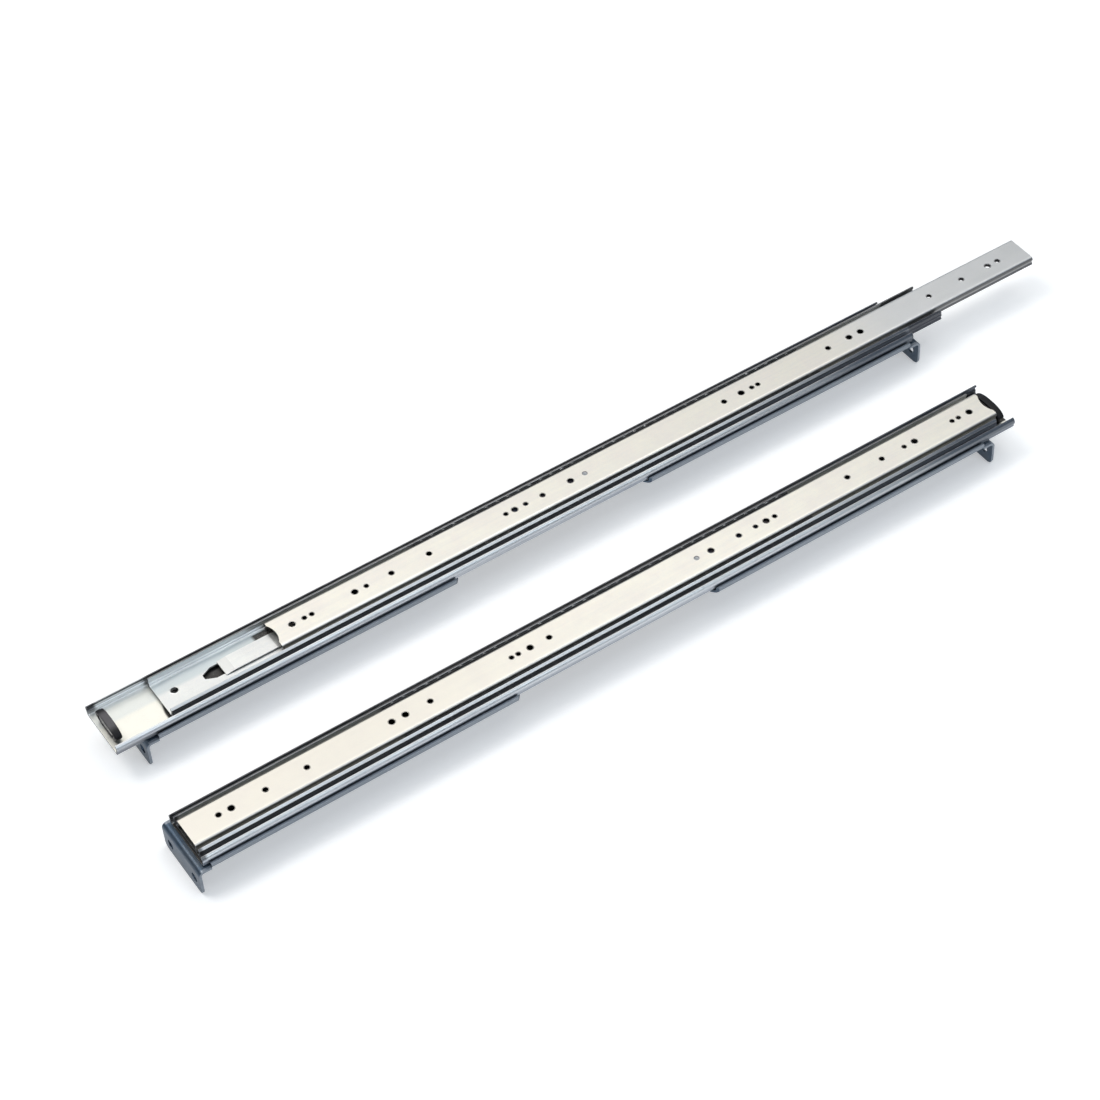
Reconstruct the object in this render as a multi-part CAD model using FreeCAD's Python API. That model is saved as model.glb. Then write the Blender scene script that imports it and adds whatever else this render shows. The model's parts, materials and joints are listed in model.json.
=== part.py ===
import FreeCAD
import Part
import math
import os

# Sliding server rail pair: two ball-bearing rails of three telescoping members,
# a mirrored left and right set, lying on the four ears of their rack brackets.
#
# Each rail is drawn in its own frame, in millimetres: u (along X) runs from the
# front end of its outer member to the rear, y across it, and z up from the top
# face of its inner member. place() then carries it into the row frame.

V = FreeCAD.Vector
ALONG = V(1, 0, 0)
ACROSS = V(0, 1, 0)
UP = V(0, 0, 1)
ORIGIN = V(0, 0, 0)

# ---- driving dimensions ----------------------------------------------------

inner_len = 657.0          # chassis member of a nominal 26 inch slide
outer_extra = 10.0         # outer member is longer than the inner by this
mid_short = 4.0            # intermediate is shorter than the inner by this
end_setback = 1.0          # closed members stop this far inside the outer's front

sheet = 1.3                # rolled steel of the three members
ball_d = 3.97              # 5/32 inch balls
race_gap = 0.035           # ball to race
outer_half = 22.85         # half of the 45.7 wide outer member
rail_depth = 12.7          # half inch, from the inner's top face to the outer's back

mid_web_z = -8.0           # top face of the intermediate's web
outer_ball_z = -6.6        # height of the outer rows of balls
inner_ball_z = -4.4        # height of the inner rows

travel = 308.0             # each stage's run from closed to fully out
cage_spare = 3.0           # cage's front end inside the member's front, fully out
cage_short = 12.0          # cage is shorter than the overlap left then
ball_pitch = 9.0

left_mid_out = 31.4        # how far the left rail's stages are drawn out at rest
left_inner_out = 92.0

bracket_t = 1.8
bracket_gap = 0.25         # between the outer's wall and the bracket's side lip
bracket_arm = 247.0
bracket_lip_z = -9.4       # top of the bracket's side lips
ear_drop = 35.0            # ear's lower edge below the inner's top face
front_ear_u = -4.5         # middle of the front ear's sheet
rear_ear_in = 20.5         # middle of the rear ear's sheet inside the outer's rear end
ear_hole_pitch = 31.75     # the two outer holes of one rack unit
ear_hole_r = 3.5
adjust_out = 50.0          # how far the rear bracket slides out of its rest place
adjust_in = 10.0

rail_pitch = 112.7         # centre line to centre line
pair_offset = 665.1        # right rail's front end to left rail's front end

slip = 0.3                 # between pieces that slide past each other
fit = 0.05                 # radial, round a rivet, stud or post

# ---- sizes that follow -----------------------------------------------------

outer_len = inner_len + outer_extra
mid_len = inner_len - mid_short
cage_len = mid_len - travel - cage_short
cage_front = travel / 2 + cage_spare
rear_ear_u = outer_len - rear_ear_in
bracket_half = outer_half + bracket_gap + bracket_t
ear_hole_z = -(rail_depth + bracket_t + ear_drop) / 2 - 0.5

ball_r = ball_d / 2
race_r = ball_r + race_gap
outer_back_z = -rail_depth
outer_web_z = outer_back_z + sheet
mid_back_z = mid_web_z - sheet

outer_ball_y = outer_half - sheet - race_r
mid_groove_y = outer_ball_y - race_r
mid_throat = 1.2
inner_ball_y = mid_groove_y - mid_throat - race_r
inner_groove_y = inner_ball_y - race_r

stud_r = 2.5
slot_half = stud_r + slip
stud_u = (rear_ear_u - 176.5, rear_ear_u - 56.5)
rivet_u = (40.0, 205.0)
washer_t = 0.8
nut_t = 4.0
nut_flats = 8.0

# Chassis holes of the inner member, as (place, radius). Those of the front half are
# placed from the first hole, those of the rear half from the last one.
big, plain, small = 2.4, 2.05, 1.8
hole_lead = 24.0           # first hole behind the inner's front end
hole_tail = 15.0           # last hole ahead of its rear end
front_holes = (
    (0.0, plain), (9.4, big), (34.8, plain), (65.9, plain), (130.7, big),
    (141.2, big), (160.6, plain), (224.9, small), (230.3, small), (239.8, big),
    (255.2, plain),
)
rear_holes = (
    (228.5, big), (204.7, plain), (190.4, small), (181.2, big), (173.8, small),
    (110.1, plain), (79.4, plain), (59.2, small), (49.9, big), (15.6, small),
    (9.8, small), (0.0, big),
)
last_hole = inner_len - hole_tail
chassis_holes = [(hole_lead + u, r) for u, r in front_holes]
chassis_holes += [(last_hole - u, r) for u, r in rear_holes]
screw_holes = (hole_lead + 9.4, last_hole)     # the two that locate the chassis
lever_u = last_hole - 240.7    # the release lever's pivot, behind the inner's front
lever_pin_r = 2.0

boss_u = mid_len - 12.0    # pierced boss near the intermediate's rear end
boss_y = 2.5
boss_r = 4.0
boss_z = mid_back_z - 1.6
stop_u = boss_u + end_setback - travel - boss_r - 0.4   # rear face of the outer's stop block
hook_u = 48.5              # hook's front face from the lever's pivot
tab_u = lever_u + hook_u - travel - 0.6   # rear face of the intermediate's stop tab

post_t = 1.5
post_u = outer_len - 6.7
post_stem_half = 5.0
post_head_half = 11.5
bumper_t = 5.5
bumper_z = -5.5

window_u = mid_len - 47.0  # window in the intermediate's web, from its rear end
leaf_u0 = window_u - 66.0  # the sprung leaf ends at that window's front edge
leaf_u1 = window_u
leaf_half = 7.0
leaf_t = 0.6
leaf_lift = 1.2


# ---- drawing helpers -------------------------------------------------------

def chain(points, to_space):
    """Edges along a path: a pair is a straight step, a quad an arc's middle and end."""
    edges = []
    here = to_space(*points[0])
    for step in points[1:]:
        there = to_space(*step[-2:])
        if len(step) == 4:
            edges.append(Part.Arc(here, to_space(*step[:2]), there).toShape())
        else:
            edges.append(Part.LineSegment(here, there).toShape())
        here = there
    return edges


def closed(path):
    return path if path[-1][-2:] == path[0] else path + [path[0]]


def rolled(half, start, length):
    """Extrude a symmetric cross-section; half is its path on the +y side."""
    right = chain(half, lambda y, z: V(start, y, z))
    left = chain(half, lambda y, z: V(start, -y, z))
    wire = Part.Wire(Part.__sortEdges__(right + left))
    return Part.Face(wire).extrude(ALONG * length).removeSplitter()


def cut_along_y(path, y0, y1):
    """Extrude a closed side view (u, z) across the rail."""
    edges = chain(closed(path), lambda u, z: V(u, y0, z))
    return Part.Face(Part.Wire(edges)).extrude(ACROSS * (y1 - y0))


def plate(path, z0, z1):
    """Extrude a closed plan view (u, y) upward."""
    edges = chain(closed(path), lambda u, y: V(u, y, z0))
    return Part.Face(Part.Wire(edges)).extrude(UP * (z1 - z0))


def box(u0, u1, y0, y1, z0, z1):
    return Part.makeBox(u1 - u0, y1 - y0, z1 - z0, V(u0, y0, z0))


def drum(u, y, r, z0, z1):
    return Part.makeCylinder(r, z1 - z0, V(u, y, z0), UP)


def ring(u, y, r, sides):
    """Corners of a regular outline of mean radius r, for small rounds that repeat."""
    step = 2 * math.pi / sides
    reach = r / math.cos(step / 4)
    turns = [step * (i + 0.5) for i in range(sides)]
    return [(u + reach * math.cos(a), y + reach * math.sin(a)) for a in turns]


def peg(u, y, r, z0, z1, sides=12):
    """Small upright round with flat facets, for rivets, studs and the holes they fill."""
    return plate(ring(u, y, r, sides), z0, z1)


def head(u, y, r0, z0, r1, z1):
    """Faceted rivet head, tapering from r0 to r1."""
    wires = []
    for r, z in ((r0, z0), (r1, z1)):
        edges = chain(closed(ring(u, y, r, 12)), lambda a, b: V(a, b, z))
        wires.append(Part.Wire(edges))
    return Part.makeLoft(wires, True, True)


def stadium(reach, r, steps):
    """Round-ended outline: half circles of radius r about (-reach, 0) and (reach, 0)."""
    turns = [math.pi * (i / steps - 0.5) for i in range(steps + 1)]
    right = [(reach + r * math.cos(a), r * math.sin(a)) for a in turns]
    return right + [(-a, -b) for a, b in right]


def slot(u0, u1, y, r, z0, z1):
    """Round-ended slot along the rail; u0 and u1 are its end centres."""
    middle = (u0 + u1) / 2
    return plate([(middle + a, y + b) for a, b in stadium((u1 - u0) / 2, r, 6)], z0, z1)


def oval(u0, u1, half_w, half_h, z):
    """Flat-sided oval standing across the rail, half_w wide and half_h tall."""
    outline = stadium(half_w - half_h, half_h, 6)
    edges = chain(closed(outline), lambda w, h: V(u0, w, z + h))
    return Part.Face(Part.Wire(edges)).extrude(ALONG * (u1 - u0))


def on_arc(cy, cz, r, degrees):
    a = math.radians(degrees)
    return cy + r * math.cos(a), cz + r * math.sin(a)


def save(name, shape):
    shape.exportStep("parts/" + name + ".step")


# ---- the three rolled members ----------------------------------------------

def outer_member():
    """C section whose walls bulge round the outer balls and curl over them."""
    y, z, out = outer_ball_y, outer_ball_z, race_r + sheet
    neck = outer_half - 0.95
    low_out = -math.degrees(math.acos((neck - y) / out))
    low_in = -math.degrees(math.acos((neck - sheet - y) / race_r))
    curl = 75
    half = [(0, outer_back_z), (neck - 2.4, outer_back_z),
            (neck - 2.4 + 1.7, outer_back_z + 0.7, neck, outer_back_z + 2.4),
            on_arc(y, z, out, low_out),
            on_arc(y, z, out, 10) + on_arc(y, z, out, curl),
            on_arc(y, z, race_r, curl),
            on_arc(y, z, race_r, 5) + on_arc(y, z, race_r, low_in),
            (neck - sheet, outer_web_z + 1.1),
            (neck - sheet - 0.32, outer_web_z + 0.32, neck - sheet - 1.1, outer_web_z),
            (0, outer_web_z)]
    body = rolled(half, 0, outer_len)
    cuts = []
    for u in rivet_u + stud_u:
        cuts.append(peg(u, 0, stud_r + fit, outer_back_z - 1, outer_web_z + 1))
    cuts.append(post_solid(fit, outer_back_z - 1, post_stem_half))
    return body.cut(Part.makeCompound(cuts))


def mid_member():
    """C section with a race rolled into both faces of each wall."""
    oy, oz = outer_ball_y, outer_ball_z
    iy, iz = inner_ball_y, inner_ball_z
    reach = 50
    out_low = on_arc(oy, oz, race_r, 180 + reach)
    out_high = on_arc(oy, oz, race_r, 180 - reach)
    in_low = on_arc(iy, iz, race_r, -reach)
    in_high = on_arc(iy, iz, race_r, reach)
    corner = out_low[1] - mid_back_z
    lip = out_high[0] - 0.63
    half = [(0, mid_back_z), (out_low[0] - corner, mid_back_z),
            (out_low[0] - 0.29 * corner, mid_back_z + 0.29 * corner) + out_low,
            (mid_groove_y, oz) + out_high,
            (lip, -3.7), (lip, -2.2),
            (lip - 0.12, -1.88, lip - 0.35, -1.72),
            (in_high[0] + 0.55, -0.95),
            (in_high[0] + 0.16, -1.0, in_high[0], -1.4),
            in_high,
            (iy + race_r, iz) + in_low,
            (in_low[0], mid_web_z + 0.9),
            (in_low[0] - 0.26, mid_web_z + 0.26, in_low[0] - 0.9, mid_web_z),
            (0, mid_web_z)]
    body = rolled(half, 0, mid_len)
    boss = peg(boss_u, boss_y, boss_r, boss_z, mid_back_z + 0.2)
    outline = [(0, -5.0), (6.0, -5.0), (13.5, -1.5), (13.5, 2.5), (6.0, 6.0), (0, 6.0)]
    window = plate([(window_u + a, y) for a, y in outline], mid_back_z - 1, mid_web_z + 1)
    cuts = [peg(boss_u, boss_y, 2.75, boss_z - 1, mid_web_z + 1), window]
    return body.fuse(boss).cut(Part.makeCompound(cuts))


def inner_member():
    """Shallow C section with a race rolled into the outside of each flange."""
    y, z, back = inner_ball_y, inner_ball_z, race_r + mid_throat
    reach = 50
    high = on_arc(y, z, race_r, 180 - reach)
    low = on_arc(y, z, race_r, 180 + reach)
    lip_z = mid_web_z + 1.1
    inside_low = on_arc(y, z, back, 180 + 40)
    inside_high = on_arc(y, z, back, 180 - 40)
    half = [(0, 0), (high[0] - 2.0, 0),
            (high[0] - 0.59, -0.59, high[0], -2.0),
            high,
            (inner_groove_y, z) + low,
            (low[0], lip_z), (inside_low[0], lip_z),
            inside_low,
            (y - back, z) + inside_high,
            (inside_high[0] - 0.28, -1.58, inside_high[0] - 0.97, -sheet),
            (0, -sheet)]
    body = rolled(half, 0, inner_len)
    cuts = []
    for u, r in chassis_holes:
        if u in screw_holes:
            cuts.append(drum(u, 0, r, -4, 1))
        else:
            cuts.append(peg(u, 0, r, -4, 1, 10))
    cuts.append(peg(lever_u, 0, lever_pin_r + fit, -4, 1))
    cuts.append(drum(inner_len + 14.0, 0, 16.5, -4, 1))
    return body.cut(Part.makeCompound(cuts))


# ---- ball cages and balls --------------------------------------------------

def ball_places():
    """Two balls near each end of a cage, as distances from its front end."""
    near = 7.5
    return (near, near + ball_pitch, cage_len - near - ball_pitch, cage_len - near)


def cage(y, z, web_top, web_t, window):
    """Black strip folded into a U, with pockets that space the balls."""
    t = 0.7
    web = web_top - web_t
    flange_top = z + ball_r + 0.8
    y_out = y + t / 2
    y_in = y - t / 2
    r = 0.9
    half = [(0, web), (y_out - r, web),
            (y_out - 0.29 * r, web + 0.29 * r, y_out, web + r),
            (y_out, flange_top), (y_in, flange_top),
            (y_in, web_top + 0.25),
            (y_in - 0.07, web_top + 0.07, y_in - 0.25, web_top),
            (0, web_top)]
    body = rolled(half, 0, cage_len)
    cuts = []
    for u in ball_places():
        for side in (-1, 1):
            pocket = chain(closed(ring(u, z, ball_r + 0.1, 8)), lambda a, b: V(a, side * y - t, b))
            cuts.append(Part.Face(Part.Wire(pocket)).extrude(ACROSS * 2 * t))
    u0, u1 = window
    cuts.append(box(u0, u1, -9, 9, web - 1, web_top + 1))
    return body.cut(Part.makeCompound(cuts))


def ball(centre):
    """A ball with few facets: its eight-cornered waist stands across the race."""
    rows = []
    for lift in (-52, 0, 52):
        r = ball_r * math.cos(math.radians(lift))
        x = ball_r * math.sin(math.radians(lift))
        turns = [math.radians(45 * i) for i in range(8)]
        rows.append([V(x, r * math.cos(a), r * math.sin(a)) for a in turns])
    faces = []
    for low, high in zip(rows, rows[1:]):
        for i in range(8):
            j = (i + 1) % 8
            faces.append(Part.Face(Part.makePolygon([low[i], low[j], high[j], high[i], low[i]])))
    for row in (rows[0], rows[-1]):
        faces.append(Part.Face(Part.makePolygon(row + [row[0]])))
    solid = Part.makeSolid(Part.makeShell(faces))
    solid.translate(centre)
    return solid


def balls(y, z):
    places = [V(u, side * y, z) for u in ball_places() for side in (-1, 1)]
    return Part.makeCompound([ball(place) for place in places])


# ---- stops, bumper, leaf and release lever ----------------------------------

def stop_block():
    """Welded ramp on the outer's web that the intermediate's boss runs up against."""
    top = mid_back_z - 0.4
    path = [(stop_u - 14.0, outer_web_z), (stop_u, outer_web_z), (stop_u, top),
            (stop_u - 4.0, top), (stop_u - 12.5, outer_web_z + 0.5)]
    return cut_along_y(path, -6, 6)


def stop_tab():
    """Folded tab on the intermediate's web that the release lever's hook catches."""
    t = 1.2
    top = -4.0
    foot = mid_web_z
    path = [(tab_u - 14, foot), (tab_u - 1.8, foot), (tab_u - 0.53, foot + 0.53, tab_u, foot + 1.8),
            (tab_u, top), (tab_u - t, top), (tab_u - t, foot + 1.8),
            (tab_u - t - 0.18, foot + t + 0.18, tab_u - 1.8, foot + t), (tab_u - 14, foot + t)]
    return cut_along_y(path, -2.4, 2.4)


def post_solid(grow, z0, half):
    return box(post_u - grow, post_u + post_t + grow, -half - grow, half + grow, z0, outer_web_z + 1)


def stop_post():
    """Upright staked through the outer's web; its wide head carries the bumper."""
    head = box(post_u, post_u + post_t, -post_head_half, post_head_half, bumper_z - 3.0, bumper_z + 3.0)
    stem = box(post_u, post_u + post_t, -post_stem_half, post_stem_half, outer_back_z, bumper_z)
    return head.fuse(stem).removeSplitter()


def bumper():
    """Rubber ring stretched round the post's head; its steel shows in the middle."""
    u0 = post_u + post_t / 2 - bumper_t / 2
    u1 = u0 + bumper_t
    body = oval(u0, u1, 15.0, 5.4, bumper_z)
    body = body.cut(oval(u0 - 1, u1 + 1, 9.0, 2.1, bumper_z))
    low, high = post_u - fit, post_u + post_t + fit
    wide, tall = post_head_half + fit, 3.0 + fit
    seat = box(low, high, -wide, wide, bumper_z - tall, bumper_z + tall)
    neck = box(low, high, -post_stem_half - fit, post_stem_half + fit, outer_back_z, bumper_z)
    return body.cut(seat.fuse(neck))


def leaf():
    """Sprung tongue: flat where it is welded down, then a low step, turned down at its free end."""
    low = mid_web_z
    high = low + leaf_lift
    flat, step, top = leaf_u0 + 16, leaf_u0 + 26, leaf_u1 - 7
    under = [(leaf_u0, low), (flat, low), (step, high), (top, high), (leaf_u1, low + 0.2)]
    over = [(u, z + leaf_t) for u, z in reversed(under)]
    return cut_along_y(under + over, -leaf_half, leaf_half)


def lever():
    """Release lever: pivot eye, tapering arm, a hook folded down, and a thumb pad."""
    t = 1.2
    top = -sheet - slip
    tip = 61.0
    eye = [(a, b) for a, b in ring(0, 0, 4.2, 12) if a < 0.5]
    arm = plate([(24.0, 3.0)] + eye + [(24.0, -3.0), (tip - 3.0, -2.6), (tip, -1.2), (tip, 1.2),
                (tip - 3.0, 2.6)], top - t, top)
    hook = cut_along_y([(hook_u, top), (hook_u + t, top), (hook_u + t, -6.4), (hook_u, -6.4)], -2.4, 2.4)
    pad = cut_along_y([(tip - 6.0, top - 0.2), (tip - 4.8, top - 0.2), (tip - 3.4, -5.2), (tip - 4.6, -5.2)],
                      -2.0, 2.0)
    body = arm.fuse([hook, pad]).removeSplitter()
    body = body.cut(peg(0, 0, lever_pin_r + fit, top - 3, top + 1))
    body.translate(V(lever_u, 0, 0))
    return body


def lever_rivet():
    """Nearly flush in the inner's top face, with its head under the lever."""
    under = -sheet - slip - 1.2 - 0.1
    shank = peg(lever_u, 0, lever_pin_r, under, -0.15)
    return shank.fuse(head(lever_u, 0, 3.4, under, 2.8, under - 0.8)).removeSplitter()


# ---- rack brackets and their fasteners --------------------------------------

def bracket(direction, drop):
    """Shallow channel under the outer member, folded down into the rack ear.

    direction is +1 for an arm that runs to the rear of its ear, -1 to the front.
    drop is the gap left between the arm and the outer's back."""
    t = bracket_t
    top = outer_back_z - drop
    low = top - t
    r_in, r_out = 1.2, 1.2 + t
    side_in = bracket_half - t
    channel = [(0, low), (bracket_half - r_out, low),
               (bracket_half - 0.29 * r_out, low + 0.29 * r_out, bracket_half, low + r_out),
               (bracket_half, bracket_lip_z - drop), (side_in, bracket_lip_z - drop),
               (side_in, top + r_in),
               (side_in - 0.29 * r_in, top + 0.29 * r_in, side_in - r_in, top), (0, top)]
    relief = 9.0
    arm = rolled(channel, relief, bracket_arm - relief)
    bend_in, bend_out = 2.0, 2.0 + t
    floor = -ear_drop
    face = -t / 2
    back = t / 2
    side = [(relief, top), (relief, low), (back + bend_in, low),
            (back + 0.29 * bend_in, low - 0.29 * bend_in, back, low - bend_in),
            (back, floor), (face, floor), (face, low - bend_in),
            (face + 0.29 * bend_out, top - 0.29 * bend_out, face + bend_out, top)]
    fold = cut_along_y(side, -bracket_half, bracket_half)
    body = arm.fuse(fold).removeSplitter()
    cuts = []
    for edge in (-1, 1):
        y = edge * ear_hole_pitch / 2
        cuts.append(Part.makeCylinder(ear_hole_r, 8, V(-4, y, ear_hole_z), ALONG))
        corner = [(edge * (bracket_half + 1), floor - 1), (edge * (bracket_half - 4), floor - 1),
                  (edge * (bracket_half - 4), floor), (edge * (bracket_half - 1.17), floor + 1.17),
                  (edge * bracket_half, floor + 4), (edge * (bracket_half + 1), floor + 4)]
        edges = chain(closed(corner), lambda w, h: V(-4, w, h))
        cuts.append(Part.Face(Part.Wire(edges)).extrude(ALONG * 8))
        tip = [(bracket_arm - 5.0, edge * (bracket_half + 1)), (bracket_arm + 1, edge * (bracket_half + 1)),
               (bracket_arm + 1, edge * (bracket_half - 6.0))]
        cuts.append(plate(tip, low - 1, 0))
    body = body.cut(Part.makeCompound(cuts))
    if direction < 0:
        body = body.mirror(ORIGIN, ALONG)
    return body


def front_bracket():
    body = bracket(1, 0.0)
    body.translate(V(front_ear_u, 0, 0))
    holes = [peg(u, 0, stud_r + fit, -20, 0) for u in rivet_u]
    return body.cut(Part.makeCompound(holes))


def rear_bracket():
    """Slides on two studs so that the ears reach rack posts of other depths."""
    body = bracket(-1, slip)
    body.translate(V(rear_ear_u, 0, 0))
    slots = [slot(u - adjust_out, u + adjust_in, 0, slot_half, -20, 0) for u in stud_u]
    return body.cut(Part.makeCompound(slots))


def front_rivets():
    """Flush inside the outer's web, headed under the front bracket."""
    seat = outer_back_z - bracket_t
    group = []
    for u in rivet_u:
        shank = peg(u, 0, stud_r, seat, outer_web_z)
        group.append(shank.fuse(head(u, 0, 4.3, seat, 3.0, seat - 1.6)).removeSplitter())
    return Part.makeCompound(group)


def rear_studs():
    """Pressed flush into the outer's web, and down through the rear bracket's slots."""
    end = outer_back_z - slip - bracket_t - slip - washer_t - nut_t - 1.5
    return Part.makeCompound([peg(u, 0, stud_r, end, outer_web_z) for u in stud_u])


def rear_washers():
    top = outer_back_z - slip - bracket_t - slip
    group = []
    for u in stud_u:
        disc = peg(u, 0, 6.0, top - washer_t, top, 16)
        group.append(disc.cut(peg(u, 0, stud_r + fit, top - 2, top + 1)))
    return Part.makeCompound(group)


def rear_nuts():
    """Plain hexagon nuts that clamp the rear bracket through the washers."""
    top = outer_back_z - slip - bracket_t - slip - washer_t
    corner = nut_flats / math.sqrt(3)
    group = []
    for u in stud_u:
        turns = [math.radians(60 * i) for i in range(6)]
        blank = plate([(u + corner * math.cos(a), corner * math.sin(a)) for a in turns], top - nut_t, top)
        group.append(blank.cut(peg(u, 0, stud_r + fit, top - nut_t - 1, top + 1)))
    return Part.makeCompound(group)


# ---- assembly --------------------------------------------------------------

front_reach = bracket_t / 2 - front_ear_u        # ear's face ahead of the outer's front
left_reach = left_mid_out + left_inner_out - end_setback
overall = pair_offset + front_reach + left_reach
right_front_x = -overall / 2 + front_reach
left_front_x = right_front_x + pair_offset


def place(side, shape, out):
    """Draw a piece out by `out`, then carry it from its rail's frame to the row frame."""
    moved = shape.copy()
    moved.translate(V(-out, 0, 0))
    if side == "left":
        moved = moved.mirror(ORIGIN, ALONG)
        moved.translate(V(left_front_x, rail_pitch / 2, ear_drop))
    else:
        moved.translate(V(right_front_x, -rail_pitch / 2, ear_drop))
    return moved


def build():
    os.makedirs("parts", exist_ok=True)
    outer_cage_place = cage_front
    inner_cage_place = cage_front + end_setback
    outer_cage_web = (mid_back_z + outer_web_z) / 2 + 0.3
    inner_cage_web = mid_web_z + 0.7
    outer_cage_slot = (stop_u - 14.0 - cage_front - 3.6, cage_len + 1)
    inner_cage_slot = (-1.0, tab_u + 8.8)
    fixed = {
        "outer_member": outer_member(),
        "outer_stop_block": stop_block(),
        "rear_stop_post": stop_post(),
        "rear_bumper": bumper(),
        "front_bracket": front_bracket(),
        "front_rivets": front_rivets(),
        "rear_bracket": rear_bracket(),
        "rear_studs": rear_studs(),
        "rear_washers": rear_washers(),
        "rear_nuts": rear_nuts(),
    }
    on_mid = {
        "intermediate_member": mid_member(),
        "inner_stop_tab": stop_tab(),
        "detent_leaf": leaf(),
    }
    on_inner = {
        "inner_member": inner_member(),
        "release_lever": lever(),
        "lever_rivet": lever_rivet(),
    }
    outer_set = {
        "outer_ball_cage": cage(outer_ball_y, outer_ball_z, outer_cage_web, 0.6, outer_cage_slot),
        "outer_balls": balls(outer_ball_y, outer_ball_z),
    }
    inner_set = {
        "inner_ball_cage": cage(inner_ball_y, inner_ball_z, inner_cage_web, 0.4, inner_cage_slot),
        "inner_balls": balls(inner_ball_y, inner_ball_z),
    }
    for side, mid_out, inner_out in (("left", left_mid_out, left_inner_out), ("right", 0.0, 0.0)):
        for name, shape in fixed.items():
            save(side + "_" + name, place(side, shape, 0))
        for name, shape in on_mid.items():
            save(side + "_" + name, place(side, shape, mid_out - end_setback))
        for name, shape in on_inner.items():
            save(side + "_" + name, place(side, shape, mid_out + inner_out - end_setback))
        for name, shape in outer_set.items():
            save(side + "_" + name, place(side, shape, mid_out / 2 - outer_cage_place))
        for name, shape in inner_set.items():
            save(side + "_" + name, place(side, shape, mid_out + inner_out / 2 - inner_cage_place))


build()
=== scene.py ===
# %% [markdown]
# A pair of sliding server rails. Each rail is three steel channels nested on ball
# bearings, with folded brackets whose ears bolt to the posts of a rack. This lesson
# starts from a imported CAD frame, which already holds every rigid piece at its real size
# and place. What is left is the part that the eye judges: the room and its light, the
# finish of each metal, and the small round shapes that a CAD mesh leaves coarse.

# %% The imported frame
import json
import math
import bpy
import bmesh
import numpy as np
from mathutils import Matrix, Vector


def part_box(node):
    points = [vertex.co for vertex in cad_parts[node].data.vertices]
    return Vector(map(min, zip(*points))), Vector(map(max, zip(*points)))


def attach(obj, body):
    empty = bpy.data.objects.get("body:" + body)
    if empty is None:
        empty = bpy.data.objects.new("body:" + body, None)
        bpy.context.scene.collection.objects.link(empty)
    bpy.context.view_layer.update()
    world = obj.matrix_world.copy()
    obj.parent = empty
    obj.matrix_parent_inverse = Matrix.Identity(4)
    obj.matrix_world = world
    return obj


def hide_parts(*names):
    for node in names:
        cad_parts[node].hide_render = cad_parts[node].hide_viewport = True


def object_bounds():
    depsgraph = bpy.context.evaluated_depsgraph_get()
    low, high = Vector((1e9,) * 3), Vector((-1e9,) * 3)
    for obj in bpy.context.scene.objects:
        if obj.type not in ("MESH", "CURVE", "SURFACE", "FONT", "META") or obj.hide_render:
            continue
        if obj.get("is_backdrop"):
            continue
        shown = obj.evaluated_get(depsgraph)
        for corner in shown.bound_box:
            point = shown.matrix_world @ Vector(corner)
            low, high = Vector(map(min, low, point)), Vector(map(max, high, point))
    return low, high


with open("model.json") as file:
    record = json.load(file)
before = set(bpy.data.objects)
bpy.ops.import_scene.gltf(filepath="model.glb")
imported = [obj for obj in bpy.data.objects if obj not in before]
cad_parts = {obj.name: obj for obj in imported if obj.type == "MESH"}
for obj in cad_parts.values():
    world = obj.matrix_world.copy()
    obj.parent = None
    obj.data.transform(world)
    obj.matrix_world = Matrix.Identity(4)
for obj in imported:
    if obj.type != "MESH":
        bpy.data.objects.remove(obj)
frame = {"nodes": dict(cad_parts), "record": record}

cad_box = [list(corner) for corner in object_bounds()]
print("CAD box in metres", np.round(cad_box, 4).tolist())

# %% [markdown]
# Everything here is in metres, but a rail is easier to think about in millimetres along
# its own length. Three numbers carry one into the other: where a member's front end is,
# which way its rear end lies, and the middle line of its rail. The left rail is the right
# one mirrored, so only the sign changes.

# %% A rail's own directions
MM = 0.001
SIDES = ("left", "right")
TO_REAR = {"left": -1.0, "right": 1.0}


def middle(side):
    """Y of a rail's middle line: halfway across its outer member."""
    low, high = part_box(side + "_outer_member")
    return (low.y + high.y) / 2


def front_of(side, node):
    """X of the front end of a rail's member, which is the end that its rear lies away from."""
    low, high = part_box(side + "_" + node)
    return high.x if side == "left" else low.x


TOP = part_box("right_inner_member")[1].z


def settle(points, side, member):
    """Carries points into the frame, in metres.

    They come as mm behind the member's front, mm across, and mm above the inner's top face."""
    points = np.asarray(points, float)
    x = front_of(side, member) + TO_REAR[side] * MM * points[..., 0]
    return np.stack((x, middle(side) + MM * points[..., 1], TOP + MM * points[..., 2]), axis=-1)


for rail in SIDES:
    start = round(front_of(rail, "outer_member"), 4)
    print(rail, "outer member starts at x", start, "on the line y", round(middle(rail), 4))

# %% [markdown]
# The camera looks down on the pair from the front and the left, through a longish lens.
# A camera can be aimed by hand, by a Track To constraint, or by building its three axes.
# The axes are built here, because a small roll is part of the view.

# %% Camera
HEADING, ELEVATION, ROLL = math.radians(31.10), math.radians(47.22), math.radians(-3.77)
EYE = Vector((-0.7509, -1.12595, 1.4681))
FOCAL_LENGTH, SENSOR = 92.48, 36.0

ahead = Vector((math.sin(HEADING) * math.cos(ELEVATION),
                math.cos(HEADING) * math.cos(ELEVATION),
                -math.sin(ELEVATION)))
level = Vector((math.cos(HEADING), -math.sin(HEADING), 0))
upward = level.cross(ahead)
right = level * math.cos(ROLL) + upward * math.sin(ROLL)
above = right.cross(ahead)

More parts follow.
